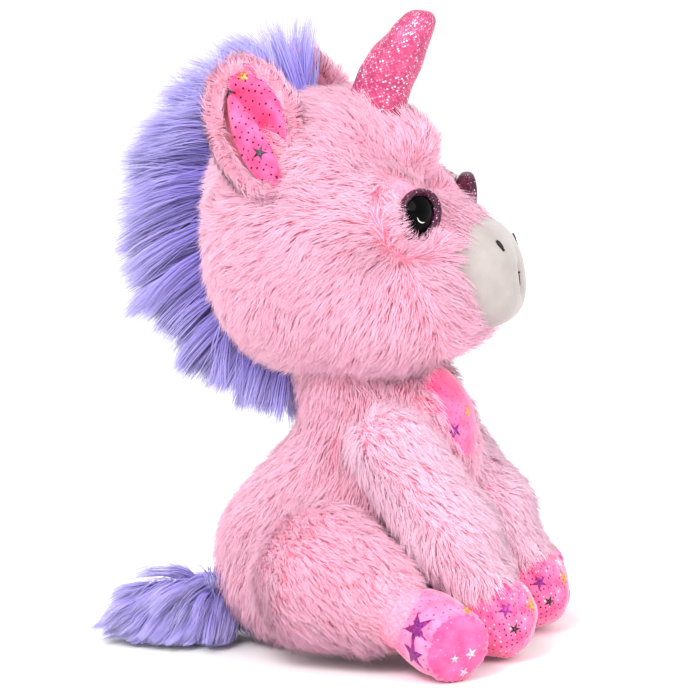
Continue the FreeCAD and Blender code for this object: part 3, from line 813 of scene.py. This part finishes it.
def patch_mask(points):
    """Below 1 inside the printed bib on the chest."""
    spread = np.abs(points[:, 0] / 14.5) ** 2.4 + np.abs((points[:, 2] - 84) / 14.5) ** 2.4
    return np.where(points[:, 1] < -25, spread, 9.0)


def buried(points, depth, *fields):
    """Whether each point is deeper than this under any of the fields' surfaces."""
    hidden = np.zeros(len(points), bool)
    for field in fields:
        hidden |= field(points) < -depth
    return hidden


def build_hide(name, skin, body, fill, *stood_for, rise=HIDE_RISE):
    """The cloth under the pile, a little above the skin that the pile grows from."""
    cover(skin.mesh(name, -rise), PINK_HIDE, body, "pink_fur", fill, *stood_for)


# ---- head

def by_eye(points, side):
    """Offsets from an eye, distances from it and from its axis, and 0..1 for below it."""
    gap = points - eye_centre(side)
    below = smooth_step(-3, 4, gap @ mirror([0.65, 0.4, -0.6], side))
    return gap, norm(gap), norm(across(gap, eye_axis(side)[None])), below


def head_comb(points):
    """Away from the muzzle over the head; straight ahead close round the muzzle and eyes."""
    away = unit(points - (MUZZLE + [0, 14, 6]))
    lower = 1 - smooth_step(-10, 14, points[:, 2] - HEAD[2])
    lie = away * (1 - 0.35 * lower)[:, None] + [0, 0.25, -0.2]
    lie[:, 2] -= 0.55 * lower
    near = 1 - smooth_step(3, 16, muzzle_field(points))
    lie = lie * (1 - near)[:, None] + np.array([0, -1.4, -0.1]) * near[:, None]
    for side in (RIGHT, LEFT):
        gap, far, _, below = by_eye(points, side)
        beside = 1 - smooth_step(11, 18, far)
        lie += unit(-gap) * (2.6 * beside * below)[:, None]
        lie += unit(gap) * (0.4 * beside * (1 - below))[:, None]
    return lie


def head_keep(points):
    horn = norm(across(points - HORN, HORN_AXIS[None]))
    ahead = smooth_step(2, -8, points[:, 1] - HORN[1])
    kept = ~((horn < 8.6 + 3.5 * ahead) & (points[:, 2] > HORN[2] - 15))
    kept &= ~buried(points, 2.0, muzzle_field)
    for side in (RIGHT, LEFT):
        _, far, out, _ = by_eye(points, side)
        kept &= ~((out < EYE_BARE) & (far < EYE_REACH))
    return kept & ~buried(points, 9.0, torso_field)


def head_length(points):
    """Shorter pile on the face than at the back."""
    face = 1 - smooth_step(-58, -30, points[:, 1])
    near = 1 - smooth_step(3, 10, muzzle_field(points))
    size = 10.5 - 2.0 * face + 5.5 * near
    for side in (RIGHT, LEFT):
        _, far, out, below = by_eye(points, side)
        tip = 6.2 - 1.4 * below
        size = np.where(far < EYE_REACH, np.minimum(size, np.maximum((out - tip) / 0.62, 3.5)), size)
    return size


def build_head():
    skin = skin_of(head_field, HEAD)
    build_hide("head_hide", skin, "head", 0.85, "head_fur_right", "head_fur_left", "head_stuffing")
    pile("head_pile", skin, 112_000, head_comb, head_length, PINK_FUR, "head", 11, head_keep)
    return skin


def dented(skin, place, way, reach, depth):
    """Presses a skin in along a line, as a pulled stitch does."""
    gap = skin.points - place
    way = unit(way)
    along = np.clip(gap @ way, -reach, reach)
    far = norm(gap - along[:, None] * way)
    skin.swell(-depth * np.exp(-(far / 1.8) ** 2))


def nostril(side, name):
    return middle_of(f"nostril_stitch_{name}") + mirror([1.8, -1.0, 1.2], side)


def build_muzzle():
    skin = skin_of(muzzle_field, MUZZLE, 72, 112, axis=(0, -1, 0))
    for side, name in SIDES:
        dented(skin, nostril(side, name), mirror([0.5, 0, 0.8], side), 2.6, 1.0)
    mouth = middle_of("mouth_stitch")
    dented(skin, mouth, [0, 0, 1], 4.0, 1.3)
    dented(skin, mouth + [0, 0, 7], [0, 0.2, 1], 5.0, 0.5)
    skin.normals = skin.point_normals()
    cover(skin.mesh("muzzle"), CREAM, "head", "cream_velvet", 0.9, "muzzle_cover", "muzzle_stuffing")
    tree = skin.tree()
    for side, name in SIDES:
        stitch(f"nostril_{name}", tree, nostril(side, name), mirror([-0.5, 0, 0.8], -side), 2.9,
               f"nostril_stitch_{name}")
    stitch("mouth", tree, mouth, [0, 0, 1.0], 2.4, "mouth_stitch")


def stitch(name, tree, middle, way, half, stood_for):
    """A satin stitch: threads side by side across a line, tapering at its ends."""
    way = unit(way)
    columns, count = 10, 13
    points, faces = [], []
    for number in range(count):
        share = number / (count - 1) * 2 - 1
        spot = middle + way * half * share
        hit, normal, _, _ = tree.find_nearest(Vector(spot))
        hit, normal = np.array(hit), np.array(normal)
        cross = unit(np.cross(normal, way))
        wide = 1.05 * sqrt(max(0.12, 1 - share ** 2))
        for turn in np.linspace(0, tau, columns, endpoint=False):
            points.append(hit + normal * (0.15 + 0.55 * sin(turn)) + cross * wide * cos(turn))
    last = (count - 1) * columns
    for a in range(0, last, columns):
        for column in range(columns):
            after = (column + 1) % columns
            faces.append((a + column, a + after, a + columns + after, a + columns + column))
    faces.append(tuple(reversed(range(columns))))
    faces.append(tuple(range(last, last + columns)))
    thing = new_mesh(name, np.array(points), faces)
    return dress(thing, THREAD, "head", "black_thread", stood_for)


def build_eyes():
    """Each eye is a glitter funnel round a glossy black dome."""
    for side, name in SIDES:
        axis, centre = eye_axis(side), eye_centre(side)
        funnel = [(0.6, 0), (0.6, 6.6), (1.0, 6.9), (2.3, 8.3), (2.4, 8.8), (2.0, 9.2),
                  (0.8, 9.3), (-1.2, 8.9), (-1.6, 0)]
        ring = turned(softened(funnel), centre, axis, 96).mesh(f"eye_ring_{name}")
        dress(ring, GLITTER, "head", "eye_glitter", f"eye_iris_{name}")
        dome = [(3.1, 0)] + [(3.1 - 2.3 * t * t, 6.85 * t) for t in np.linspace(0.08, 1, 14)]
        dome += [(0.3, 6.6), (0.1, 0)]
        pupil = turned(dome, centre, axis, 96).mesh(f"eye_dome_{name}")
        dress(pupil, PUPIL, "head", "eye_black", f"eye_pupil_{name}")
        for part in ("shank", "washer"):
            for slot in frame["nodes"][f"eye_{part}_{name}"].material_slots:
                slot.link = "OBJECT"
                slot.material = FIXING


# ---- foil stars

def laid(tree, starts, way, reach, above, below):
    """Points over and under a surface, looked for along a way from each start."""
    hits = []
    for start in starts:
        hit, normal, _, _ = tree.ray_cast(Vector(start), Vector(way), reach)
        if hit is None:
            hit, normal, _, _ = tree.find_nearest(Vector(start + way * 6))
        hits.append((hit, normal))
    places, normals = np.array(hits).transpose(1, 0, 2)
    return places + normals * above, places - normals * below


def star(name, tree, place, facing, radius, turn, material, body, slot):
    """A five-pointed foil star laid on a surface."""
    rings, columns = 5, 20
    grid, faces, rim = disc_grid(rings, columns)
    angle = np.arctan2(grid[:, 1], grid[:, 0])
    part = np.abs(((angle / tau * 5) % 1) - 0.5) * 2
    reach = 0.42 / (0.42 + (1 - 0.42) * (1 - part) * 1.35)
    first, second, normal = basis(facing)
    flat = grid * (reach * radius)[:, None]
    across_one = flat[:, 0] * cos(turn) - flat[:, 1] * sin(turn)
    across_two = flat[:, 0] * sin(turn) + flat[:, 1] * cos(turn)
    starts = [place + first * u + second * v + normal * 6 for u, v in zip(across_one, across_two)]
    top, bottom = laid(tree, starts, -normal, 18, 0.16, 0.25)
    thing = plate(name, top, bottom, faces, rim)
    return dress(thing, material, body, slot)


def stars(name, tree, body, rows, slot="printed_velour"):
    """Numbered stars on a piece: place, facing, radius, turn and foil of each."""
    for number, (place, facing, radius, turn, foil) in enumerate(rows):
        star(f"{name}_{number + 1}", tree, place, facing, radius, turn, foil, body, slot)


# ---- horn

def build_horn():
    """A stuffed cone that leans and bends forward, with a rounded tip."""
    outline = softened([(-9, 0), (-9, 8.0), (-4, 10.2), (4, 10.2), (14, 9.8), (24, 8.2),
                        (31, 6.4), (35.4, 5.0), (37.4, 2.8), (37.6, 0)])[::-1]
    skin = turned(outline, HORN, HORN_AXIS, 96)
    gap = skin.points - HORN
    along = gap @ HORN_AXIS
    round_it = np.arctan2(gap[:, 0], gap @ np.cross([1.0, 0, 0], HORN_AXIS))
    skin.points[:, 1] += 1.2 * np.sin(np.clip(along, 0, 36) / 36 * pi) + 1.3
    skin.points[:, 1] -= 0.0012 * np.clip(along, 0, 40) ** 2
    lumps = wave_noise(skin.points, 11.0, 81)[:, 0] * 0.28
    skin.swell(lumps * smooth_step(-2, 6, along))
    skin.normals = skin.point_normals()
    horn = skin.mesh("horn")
    print_layer(horn, np.stack([round_it * 8.0, along], 1))
    cover(horn, HORN_FOIL, "horn", "horn_foil", 0.9, "horn_cover", "horn_stuffing")


# ---- ears

EAR_LONG, EAR_WIDE = 23.0, 13.5         # half an ear's size
LINING_LONG, LINING_WIDE = 22.5, 9.4    # half its lining's size
LINING_AHEAD = 1.4                      # the lining's middle is this far forward


def ear_frame(side, name):
    """The ear's middle, and the ways out of its lining, up it and towards its front edge."""
    hinge = PIVOTS[f"ear_fold_{name}"]
    out = unit(mirror([0.90, -0.24, 0.36], side))
    up = unit(across(mirror([-0.275, 0.332, 0.902], side), out))
    front = np.cross(out, up) * (1 if side == LEFT else -1)
    if front[1] > 0:
        front = -front
    middle = hinge + mirror([-1.0, 13.8, 10.2], side)
    return middle, out, up, front


def crease(along):
    """How far forward the fold of the lining runs, along the ear."""
    return 4.4 - 11 * smooth_step(-16, 26, along)


def lining_height(forward, along):
    """The lining's relief: a dished lobe above, a rolled strip below, and the fold between."""
    past = forward - crease(along)
    dish = -5.6 + 6.2 * smooth_step(0.5, 8.5, past)
    share = np.clip((past + 4.3) / 4.7, -1, 1)
    roll = 0.6 + 3.4 * np.sqrt(1 - share ** 2)
    fold = (1 - smooth_step(-0.35, 0.35, past)) * (1 - smooth_step(13, 18, along))
    upper = -1.8 + 0.02 * (forward ** 2 + (along * 0.4) ** 2)
    dish = dish * (1 - smooth_step(10, 18, along)) + upper * smooth_step(10, 18, along)
    return dish * (1 - fold) + roll * fold


def build_ears():
    for side, name in SIDES:
        middle, out, up, front = ear_frame(side, name)

        def place(forward, along, height):
            return (middle + np.outer(forward, front) + np.outer(along, up)
                    + np.outer(height, out))

        directions, faces = sphere_grid(40, 64)
        high = directions[:, 2]
        depth = np.where(high > 0, -7.0 * np.sqrt(np.abs(high)), -10 * np.abs(high) ** 0.8)
        points = place(directions[:, 0] * EAR_WIDE, directions[:, 1] * EAR_LONG, depth)
        turned_in = np.dot(np.cross(front, up), out) < 0
        skin = Skin(points, [f[::-1] for f in faces] if turned_in else faces)
        build_hide(f"ear_hide_{name}", skin, f"ear_{name}", 0.5, f"ear_fur_{name}", rise=-0.3)

        def keep(points):
            gap = points - middle
            ring = ((gap @ front - LINING_AHEAD) / 10.2) ** 2 + (gap @ up / 21.5) ** 2
            return ~((gap @ out > -7.2) & (ring < 1))

        def comb(points):
            gap = points - middle
            return unit(across(gap, out[None])) + out * 0.25

        def face(points, normals):
            before = smooth_step(-7, -1, (points - middle) @ out)
            return normals * 0.7 + np.outer(before * 2 - 1, out)

        pile(f"ear_pile_{name}", skin, 15_000, comb, 8.5, PINK_FUR, f"ear_{name}",
             51 + side, keep, clump=2.2, lift=0.5, face=face)
        build_lining(side, name, place, turned_in)


def build_lining(side, name, place, turned_in):
    grid, faces, rim = disc_grid(44, 96)
    forward = grid[:, 0] * LINING_WIDE + LINING_AHEAD
    along = grid[:, 1] * LINING_LONG
    edge = 1 - smooth_step(0.86, 1.0, norm(grid))
    height = 1.0 + lining_height(forward, along) * edge
    top = place(forward, along, height)
    bottom = place(forward, along, np.minimum(height, 0.2) - 1.2)
    if turned_in:
        faces, rim = [f[::-1] for f in faces], rim[::-1]
    lining = plate(f"ear_lining_{name}_cloth", top, bottom, faces, rim)
    print_layer(lining, np.vstack([np.stack([forward, along], 1)] * 2))
    cover(lining, EAR_PRINT, f"ear_{name}", "printed_velour", 0.4, f"ear_lining_{name}")
    tree = BVHTree.FromPolygons([tuple(p) for p in top], faces)
    out = ear_frame(side, name)[1]
    spots = ((0.8, 18.0, 2.5, 0.4, GOLD_FOIL), (-5.6, 13.4, 2.7, 0.1, DARK_FOIL),
             (-0.9, -11.2, 2.8, 0.9, DARK_FOIL))
    stars(f"ear_star_{name}", tree, f"ear_{name}", [
        (place(ahead, up, 3.0)[0], out, radius, turn, foil)
        for ahead, up, radius, turn, foil in spots])


# ---- torso and neck

def build_torso():
    skin = skin_of(torso_field, (SEAT + CHEST) / 2)
    build_hide("torso_hide", skin, "torso", 0.8, "torso_fur_right", "torso_fur_left",
               "torso_stuffing", "bean_pouch", "bean_pellets")

    def comb(points):
        return unit(points - SEAT) * 0.2 + [0, 0.15, -1.0]

    def keep(points):
        covered = buried(points, 8.0, head_field)
        for side in (RIGHT, LEFT):
            for field in (foreleg_field, hind_field):
                covered |= field(points, side) < -8.0
        return (points[:, 2] > 1.5) & ~covered & (patch_mask(points) > 0.9)

    pile("torso_pile", skin, 54_000, comb, 10.5, PINK_FUR, "torso", 21, keep, face=body_face)
    build_patch(skin)


def build_neck():
    def field(points):
        return ellipsoid(points, NECK + [0, 0, -2], [21.0, 21.0, 17.0])

    skin = skin_of(field, NECK, 32, 48)
    build_hide("neck_hide", skin, "neck", 0.7, "neck_stuffing")

    def keep(points):
        return ~buried(points, 7.0, head_field, torso_field)

    pile("neck_pile", skin, 9_000, lambda p: p * 0 + [0, 0, -1.0], 9.0, PINK_FUR, "neck", 27, keep)


def build_patch(skin):
    """The printed bib, laid over the chest."""
    grid, faces, rim = disc_grid(24, 72)
    square = np.sign(grid) * np.abs(grid) ** 0.92
    spots = square * BIB_HALF + [0, BIB_HEIGHT]
    starts = [(x, -120, z) for x, z in spots]
    top, bottom = laid(skin.tree(), starts, (0, 1, 0), 240, 2.6, 0.3)
    patch = plate("chest_bib", top, bottom, faces, rim)
    print_layer(patch, np.vstack([spots, spots]))
    dress(patch, PATCH_PRINT, "torso", "printed_velour", "chest_patch")
    over = BVHTree.FromPolygons([tuple(p) for p in top], faces)
    spots = ((-13.0, 79, 3.4, 0.3, PURPLE_FOIL), (11.0, 80, 3.6, 0.9, PURPLE_FOIL),
             (-3.0, 84, 2.6, 0.5, GOLD_FOIL), (5.0, 70, 2.6, 0.1, SILVER_FOIL))
    stars("bib_star", over, "torso", [
        (np.array([x, -60.0, z]), [0, -1.0, 0.1], radius, turn, foil)
        for x, z, radius, turn, foil in spots])


# ---- legs

def build_forelegs():
    for side, name in SIDES:
        body = f"foreleg_{name}"
        shoulder, hoof = foreleg_line(side)
        axis = unit(hoof - shoulder)
        middle = foreleg_path(side)[1]
        skin = skin_of(lambda p: foreleg_field(p, side), middle, axis=axis, stretch=2.0)
        build_hide(f"foreleg_hide_{name}", skin, body, 0.8,
                   f"foreleg_fur_{name}", f"foreleg_stuffing_{name}")

        def keep(points):
            covered = buried(points, 7.0, torso_field, head_field)
            return ~covered & ~buried(points, 2.5, lambda p: hoof_field(p, side))

        top, knee, ankle = foreleg_path(side)

        def comb(points):
            bent = 1 - smooth_step(30, 62, points[:, 2])
            return unit(knee - top) * (1 - bent)[:, None] + unit(ankle - knee) * bent[:, None]

        # The forelegs take the lighter copy of the pink fur: painted light from the front.
        pile(f"foreleg_pile_{name}", skin, 20_000, comb, 9.5, LIT_PINK_FUR,
             body, 31 + side, keep, face=body_face)
        build_hoof(side, name, hoof, axis)


def build_hoof(side, name, hoof, axis):
    skin = skin_of(lambda p: hoof_field(p, side), hoof, 64, 96, axis=axis)
    lumps = wave_noise(skin.points, 12.0, 91 + side)[:, 0] * 0.3
    skin.swell(lumps, FLOOR)
    skin.normals = skin.point_normals()
    cloth = skin.mesh(f"hoof_{name}")
    print_layer(cloth, wrapped(skin.points, hoof, axis, HOOF_RADIUS))
    cover(cloth, HOOF_PRINT, f"foreleg_{name}", "printed_velour", 0.85, f"fore_hoof_{name}")
    tree = skin.tree()
    spots = (
        ((-0.85, -0.45, 0.35), 2.9, 0.5, PURPLE_FOIL), ((-0.2, -0.95, 0.35), 3.2, 0.2, GOLD_FOIL),
        ((-0.75, -0.65, -0.15), 2.2, 0.9, DARK_FOIL), ((0.75, -0.55, 0.35), 3.0, 0.3, GOLD_FOIL),
        ((0.3, -0.9, -0.25), 2.4, 1.1, PURPLE_FOIL), ((0.1, -0.75, 0.7), 2.6, 0.7, SILVER_FOIL))
    stars(f"hoof_star_{name}", tree, f"foreleg_{name}", [
        (hoof + unit(way) * HOOF_RADIUS, unit(way), radius, turn, foil)
        for way, radius, turn, foil in spots])


def build_hind_legs():
    for side, name in SIDES:
        body = f"hind_leg_{name}"
        hip, sole = hind_line(side)
        axis = unit(sole - hip)
        skin = skin_of(lambda p: hind_field(p, side), hip, axis=axis, stretch=1.4)
        build_hide(f"hind_leg_hide_{name}", skin, body, 0.8,
                   f"hind_leg_fur_{name}", f"hind_leg_stuffing_{name}")

        def comb(points):
            return axis + [0, 0, -0.35]

        def keep(points):
            past = (points - sole) @ axis
            return ~buried(points, 6.5, torso_field) & (past < -23.8) & (points[:, 2] > 1.2)

        def length(points):
            return 9.5 - 3.8 * smooth_step(-36, -25, (points - sole) @ axis)

        pile(f"hind_leg_pile_{name}", skin, 26_000, comb, length, PINK_FUR,
             body, 41 + side, keep, face=body_face)
        build_foot(side, name, sole + mirror([1.0, -1.0, -1.6], side), turned_out(axis, side))


def turned_out(axis, side):
    """The foot's own axis, twisted outwards from the leg's."""
    twist = Matrix.Rotation(radians(17) * side, 3, "Z")
    return unit(np.array(twist @ Vector(axis)) * [1, 1, 0.7])


def puckered(skin, centre, axis, depth, count, seed):
    """Gathers round a seam: small folds that fade away from it."""
    first, second, axis = basis(axis)
    gap = skin.points - centre
    round_it = np.arctan2(gap @ second, gap @ first)
    along = gap @ axis
    folds = np.sin(round_it * count + 1.5 * np.sin(round_it * 3 + seed))
    near = np.exp(-(along / 2.6) ** 2)
    lumps = wave_noise(skin.points, 9.0, seed)[:, 0] * 0.25
    skin.swell(folds * near * depth + lumps, FLOOR)
    skin.normals = skin.point_normals()


def build_foot(side, name, sole, axis):
    """A printed band with a round sole sewn into its end."""
    band = softened([(1.2, 0), (1.2, 9.0), (1.0, 11.4), (-0.6, 12.6), (-4, 13.2), (-10, 13.4),
                     (-16, 13.4), (-22, 13.2), (-25.5, 11.0), (-25.5, 0)])
    skin = turned(band, sole, axis, 144)
    puckered(skin, sole, axis, 0.35, 24, 101 + side)
    cloth = skin.mesh(f"foot_band_{name}")
    first, second, _ = basis(axis)
    gap = skin.points - sole
    print_layer(cloth, np.stack([np.arctan2(gap @ second, gap @ first) * 13, gap @ axis], 1))
    cover(cloth, BAND_PRINT, f"hind_leg_{name}", "printed_velour", 0.8, f"hind_hoof_{name}")
    pad = softened([(4.2, 0), (4.1, 4.0), (3.6, 7.8), (2.6, 10.6), (0.9, 12.2), (0.0, 11.6),
                    (-0.4, 9.0), (-0.4, 0)])
    sole_skin = turned(pad, sole, axis, 144)
    puckered(sole_skin, sole, axis, 0.3, 26, 111 + side)
    disc = sole_skin.mesh(f"foot_sole_{name}")
    gap = sole_skin.points - sole
    print_layer(disc, np.stack([gap @ first, gap @ second], 1))
    cover(disc, SOLE_CLOTH, f"hind_leg_{name}", "sole_velour", 0.85, f"hind_sole_{name}")
    aside = unit(np.cross([0, 0, 1.0], axis))
    upright = np.cross(axis, aside)
    spots = ((-3.4, -2.2, 1.9), (3.0, -1.2, 2.5), (1.0, -8.0, 2.1))
    stars(f"sole_star_{name}", sole_skin.tree(), f"hind_leg_{name}", [
        (sole + aside * u + upright * v, axis, radius, 0.4 * number, SILVER_FOIL)
        for number, (u, v, radius) in enumerate(spots)], "sole_velour")
    rows = []
    for turn, along, radius, foil in (
            (0.45, -7.4, 6.6, PURPLE_FOIL), (-0.22, -6.6, 5.8, PURPLE_FOIL),
            (1.9, -1.6, 3.0, GOLD_FOIL), (3.6, -7.0, 3.6, PURPLE_FOIL)):
        way = aside * (side * cos(turn)) + upright * sin(turn)
        rows.append((sole + axis * along + way * 13.3, way, radius, turn, foil))
    stars(f"band_star_{name}", skin.tree(), f"hind_leg_{name}", rows)


# ---- mane and tail

def plume(name, roots, outward, size, droop, material, body, slot, seed, spread=0.22, narrow=None):
    """Long shaggy fibres that leave their roots outwards and bend under their own weight."""
    draw = np.random.default_rng(seed)
    number = clumps(roots, 3.2, seed)
    own = draw.normal(size=(number.max() + 1, 3)) * spread
    reach = draw.uniform(0.78, 1.12, number.max() + 1)[number]
    length = size * reach * draw.uniform(0.72, 1.05, len(roots))
    way = unit(outward + own[number] + draw.normal(size=roots.shape) * 0.12)
    facing = unit(outward * 0.3 + unit(own[number]) * 0.5 + [-0.3, 0, 0.5])
    bend = own[number][:, ::-1] * 0.5
    line = [roots]
    for step in range(1, PLUME_STEPS):
        share = step / (PLUME_STEPS - 1)
        way = unit(way + (droop + bend) * share * 0.5)
        line.append(line[-1] + way * (length / (PLUME_STEPS - 1))[:, None])
    line = np.stack(line, 1)
    if narrow:
        line[:, :, 0] = narrow * np.tanh(line[:, :, 0] / narrow)
    line = clumped(line, number, PLUME_CLING, 0.9)
    height = line[:, :, 2]
    line[:, :, 2] = np.where(height < 8, 1.5 + 6.5 * np.exp((height - 8) / 6.5), height)
    radii = tapered(PLUME_RADIUS, draw.uniform(0.75, 1.3, len(roots)), 0.6, PLUME_STEPS)
    tones = np.clip(0.5 + own[number, 0] / spread * 0.2 + draw.normal(size=len(roots)) * 0.15, 0, 1)
    order = np.argsort(roots[:, 2] - roots[:, 1])
    return strands(name, order, line, radii, tones, facing, material, body, slot)


MANE_START, MANE_END = 10, 158          # degrees back from straight up over the head
MANE_SLANT = 0.21                       # how far the strip's edges lean to each side


def head_spot(tree, turn, side):
    """A place over the head's middle line: turn is in degrees back from straight up."""
    ray = Vector((side, sin(radians(turn)), cos(radians(turn))))
    hit, normal, _, _ = tree.ray_cast(Vector(HEAD), ray.normalized())
    return np.array(hit), np.array(normal)


def build_mane(head_skin):
    draw = np.random.default_rng(61)
    tree = head_skin.tree()
    count = 26_000
    turn = draw.uniform(12, MANE_END, count)
    side = draw.uniform(-1, 1, count)
    spots = [head_spot(tree, t, s * 0.2) for t, s in zip(turn, side)]
    roots = np.array([spot for spot, _ in spots])
    normals = np.array([normal for _, normal in spots])
    roots -= normals * 0.5
    turn = np.radians(turn)
    lean = np.stack([side * 0.3, 0.5 * np.cos(turn), -0.1 - 0.15 * np.sin(turn)], 1)
    size = 41.0 + 4.0 * np.sin(turn) - 13.0 * smooth_step(1.7, 2.6, turn)
    made = plume("mane_pile", roots, unit(normals + lean), size, [0, 0.05, -0.3],
                 PURPLE_FUR, "head", "purple_pile", 62, narrow=24.0)
    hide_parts("mane_pile")
    steps, wide = 48, 6
    top = [head_spot(tree, MANE_START + (MANE_END - MANE_START) * i / steps,
                     (j / wide * 2 - 1) * MANE_SLANT)
           for i in range(steps + 1) for j in range(wide + 1)]
    over = np.array([spot + normal * 0.5 for spot, normal in top])
    under = np.array([spot - normal * 0.6 for spot, normal in top])
    row = wide + 1
    faces = [(i * row + j, (i + 1) * row + j, (i + 1) * row + j + 1, i * row + j + 1)
             for i in range(steps) for j in range(wide)]
    rim = [i * row for i in range(steps)] + [steps * row + j for j in range(wide)]
    rim += [i * row + wide for i in range(steps, 0, -1)] + list(range(wide, 0, -1))
    strip = plate("mane_strip", over, under, faces, rim)
    dress(strip, PURPLE_HIDE, "head", "purple_backing", "mane_backing")


def build_tail():
    draw = np.random.default_rng(71)
    count = 13_000
    root = PIVOTS["tail_swing"]
    core = softened([(26, 0), (26, 2.5), (22, 4.6), (10, 6.2), (0, 7.0), (-4, 5.0), (-4, 0)], 2)
    backward = unit([-0.2, 1, -0.22])
    skin = turned(core, root, backward, 48)
    dress(skin.mesh("tail_core_cloth"), PURPLE_HIDE, "tail", "purple_backing", "tail_core")
    roots, normals = scatter(skin, count, draw)
    along = (roots - root) @ backward
    outward = normals * 0.7 + backward * (0.6 + along[:, None] * 0.02) + [-0.75, -0.1, -0.35]
    size = 31.0 - 3.0 * smooth_step(5, 26, along)
    made = plume("tail_pile", roots, unit(outward), size, [-0.4, 0.1, -0.8],
                 PURPLE_FUR, "tail", "purple_pile", 72, spread=0.28)
    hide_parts("tail_pile")


# ---- stage

AZIMUTH, ELEVATION, ROLL = radians(-72), radians(8), radians(2.2)
DISTANCE = 1.3
VIEW_WIDTH = 0.2469                     # metres across the picture at the toy
SENSOR = 36
CAMERA_AIM, LIGHT_AIM = (0, -0.011, 0.1044), (0, 0, 0.11)


def build_camera():
    """From the toy's right, a little ahead and a little above, and rolled a touch."""
    back = Vector((sin(AZIMUTH) * cos(ELEVATION), -cos(AZIMUTH) * cos(ELEVATION), sin(ELEVATION)))
    data = bpy.data.cameras.new("camera")
    data.sensor_width = SENSOR
    data.lens = SENSOR * DISTANCE / VIEW_WIDTH
    camera = bpy.data.objects.new("camera", data)
    camera.location = Vector(CAMERA_AIM) + back * DISTANCE
    level = (-back).to_track_quat("-Z", "Y").to_matrix().to_4x4()
    camera.rotation_mode = "QUATERNION"
    camera.rotation_quaternion = (level @ Matrix.Rotation(-ROLL, 4, "Z")).to_quaternion()
    scene.collection.objects.link(camera)
    scene.camera = camera


def build_stage():
    far = 60_000
    floor = new_mesh("floor", [(-far, -far, 0), (far, -far, 0), (far, far, 0), (-far, far, 0)],
                     [(0, 1, 2, 3)])
    floor.data.materials.append(grained_material(
        "floor_paper", (0.87, 0.87, 0.87, 1), (0.89, 0.89, 0.89, 1), 0.95, 4, 0.3, 0.7,
        Specular_IOR_Level=0.0))
    world = bpy.data.worlds.new("studio")
    world.use_nodes = True
    world.node_tree.nodes["Background"].inputs["Color"].default_value = (1, 1, 1, 1)
    world.node_tree.nodes["Background"].inputs["Strength"].default_value = 1.3
    scene.world = world
    scene.view_settings.view_transform = "Standard"


def area_light(name, place, size, power):
    light = bpy.data.lights.new(name, "AREA")
    light.shape = "DISK"
    light.size = size
    light.energy = power
    thing = bpy.data.objects.new(name, light)
    thing.location = place
    thing.rotation_mode = "QUATERNION"
    towards = Vector(LIGHT_AIM) - Vector(place)
    thing.rotation_quaternion = towards.to_track_quat("-Z", "Y")
    scene.collection.objects.link(thing)


build_camera()
build_stage()
area_light("key", (-1.1, 0.1, 1.25), 0.7, 13)
area_light("fill", (-0.9, -1.2, 0.7), 0.9, 8)
head_skin = build_head()
build_muzzle()
build_eyes()
build_horn()
build_ears()
build_torso()
build_neck()
build_forelegs()
build_hind_legs()
build_mane(head_skin)
build_tail()
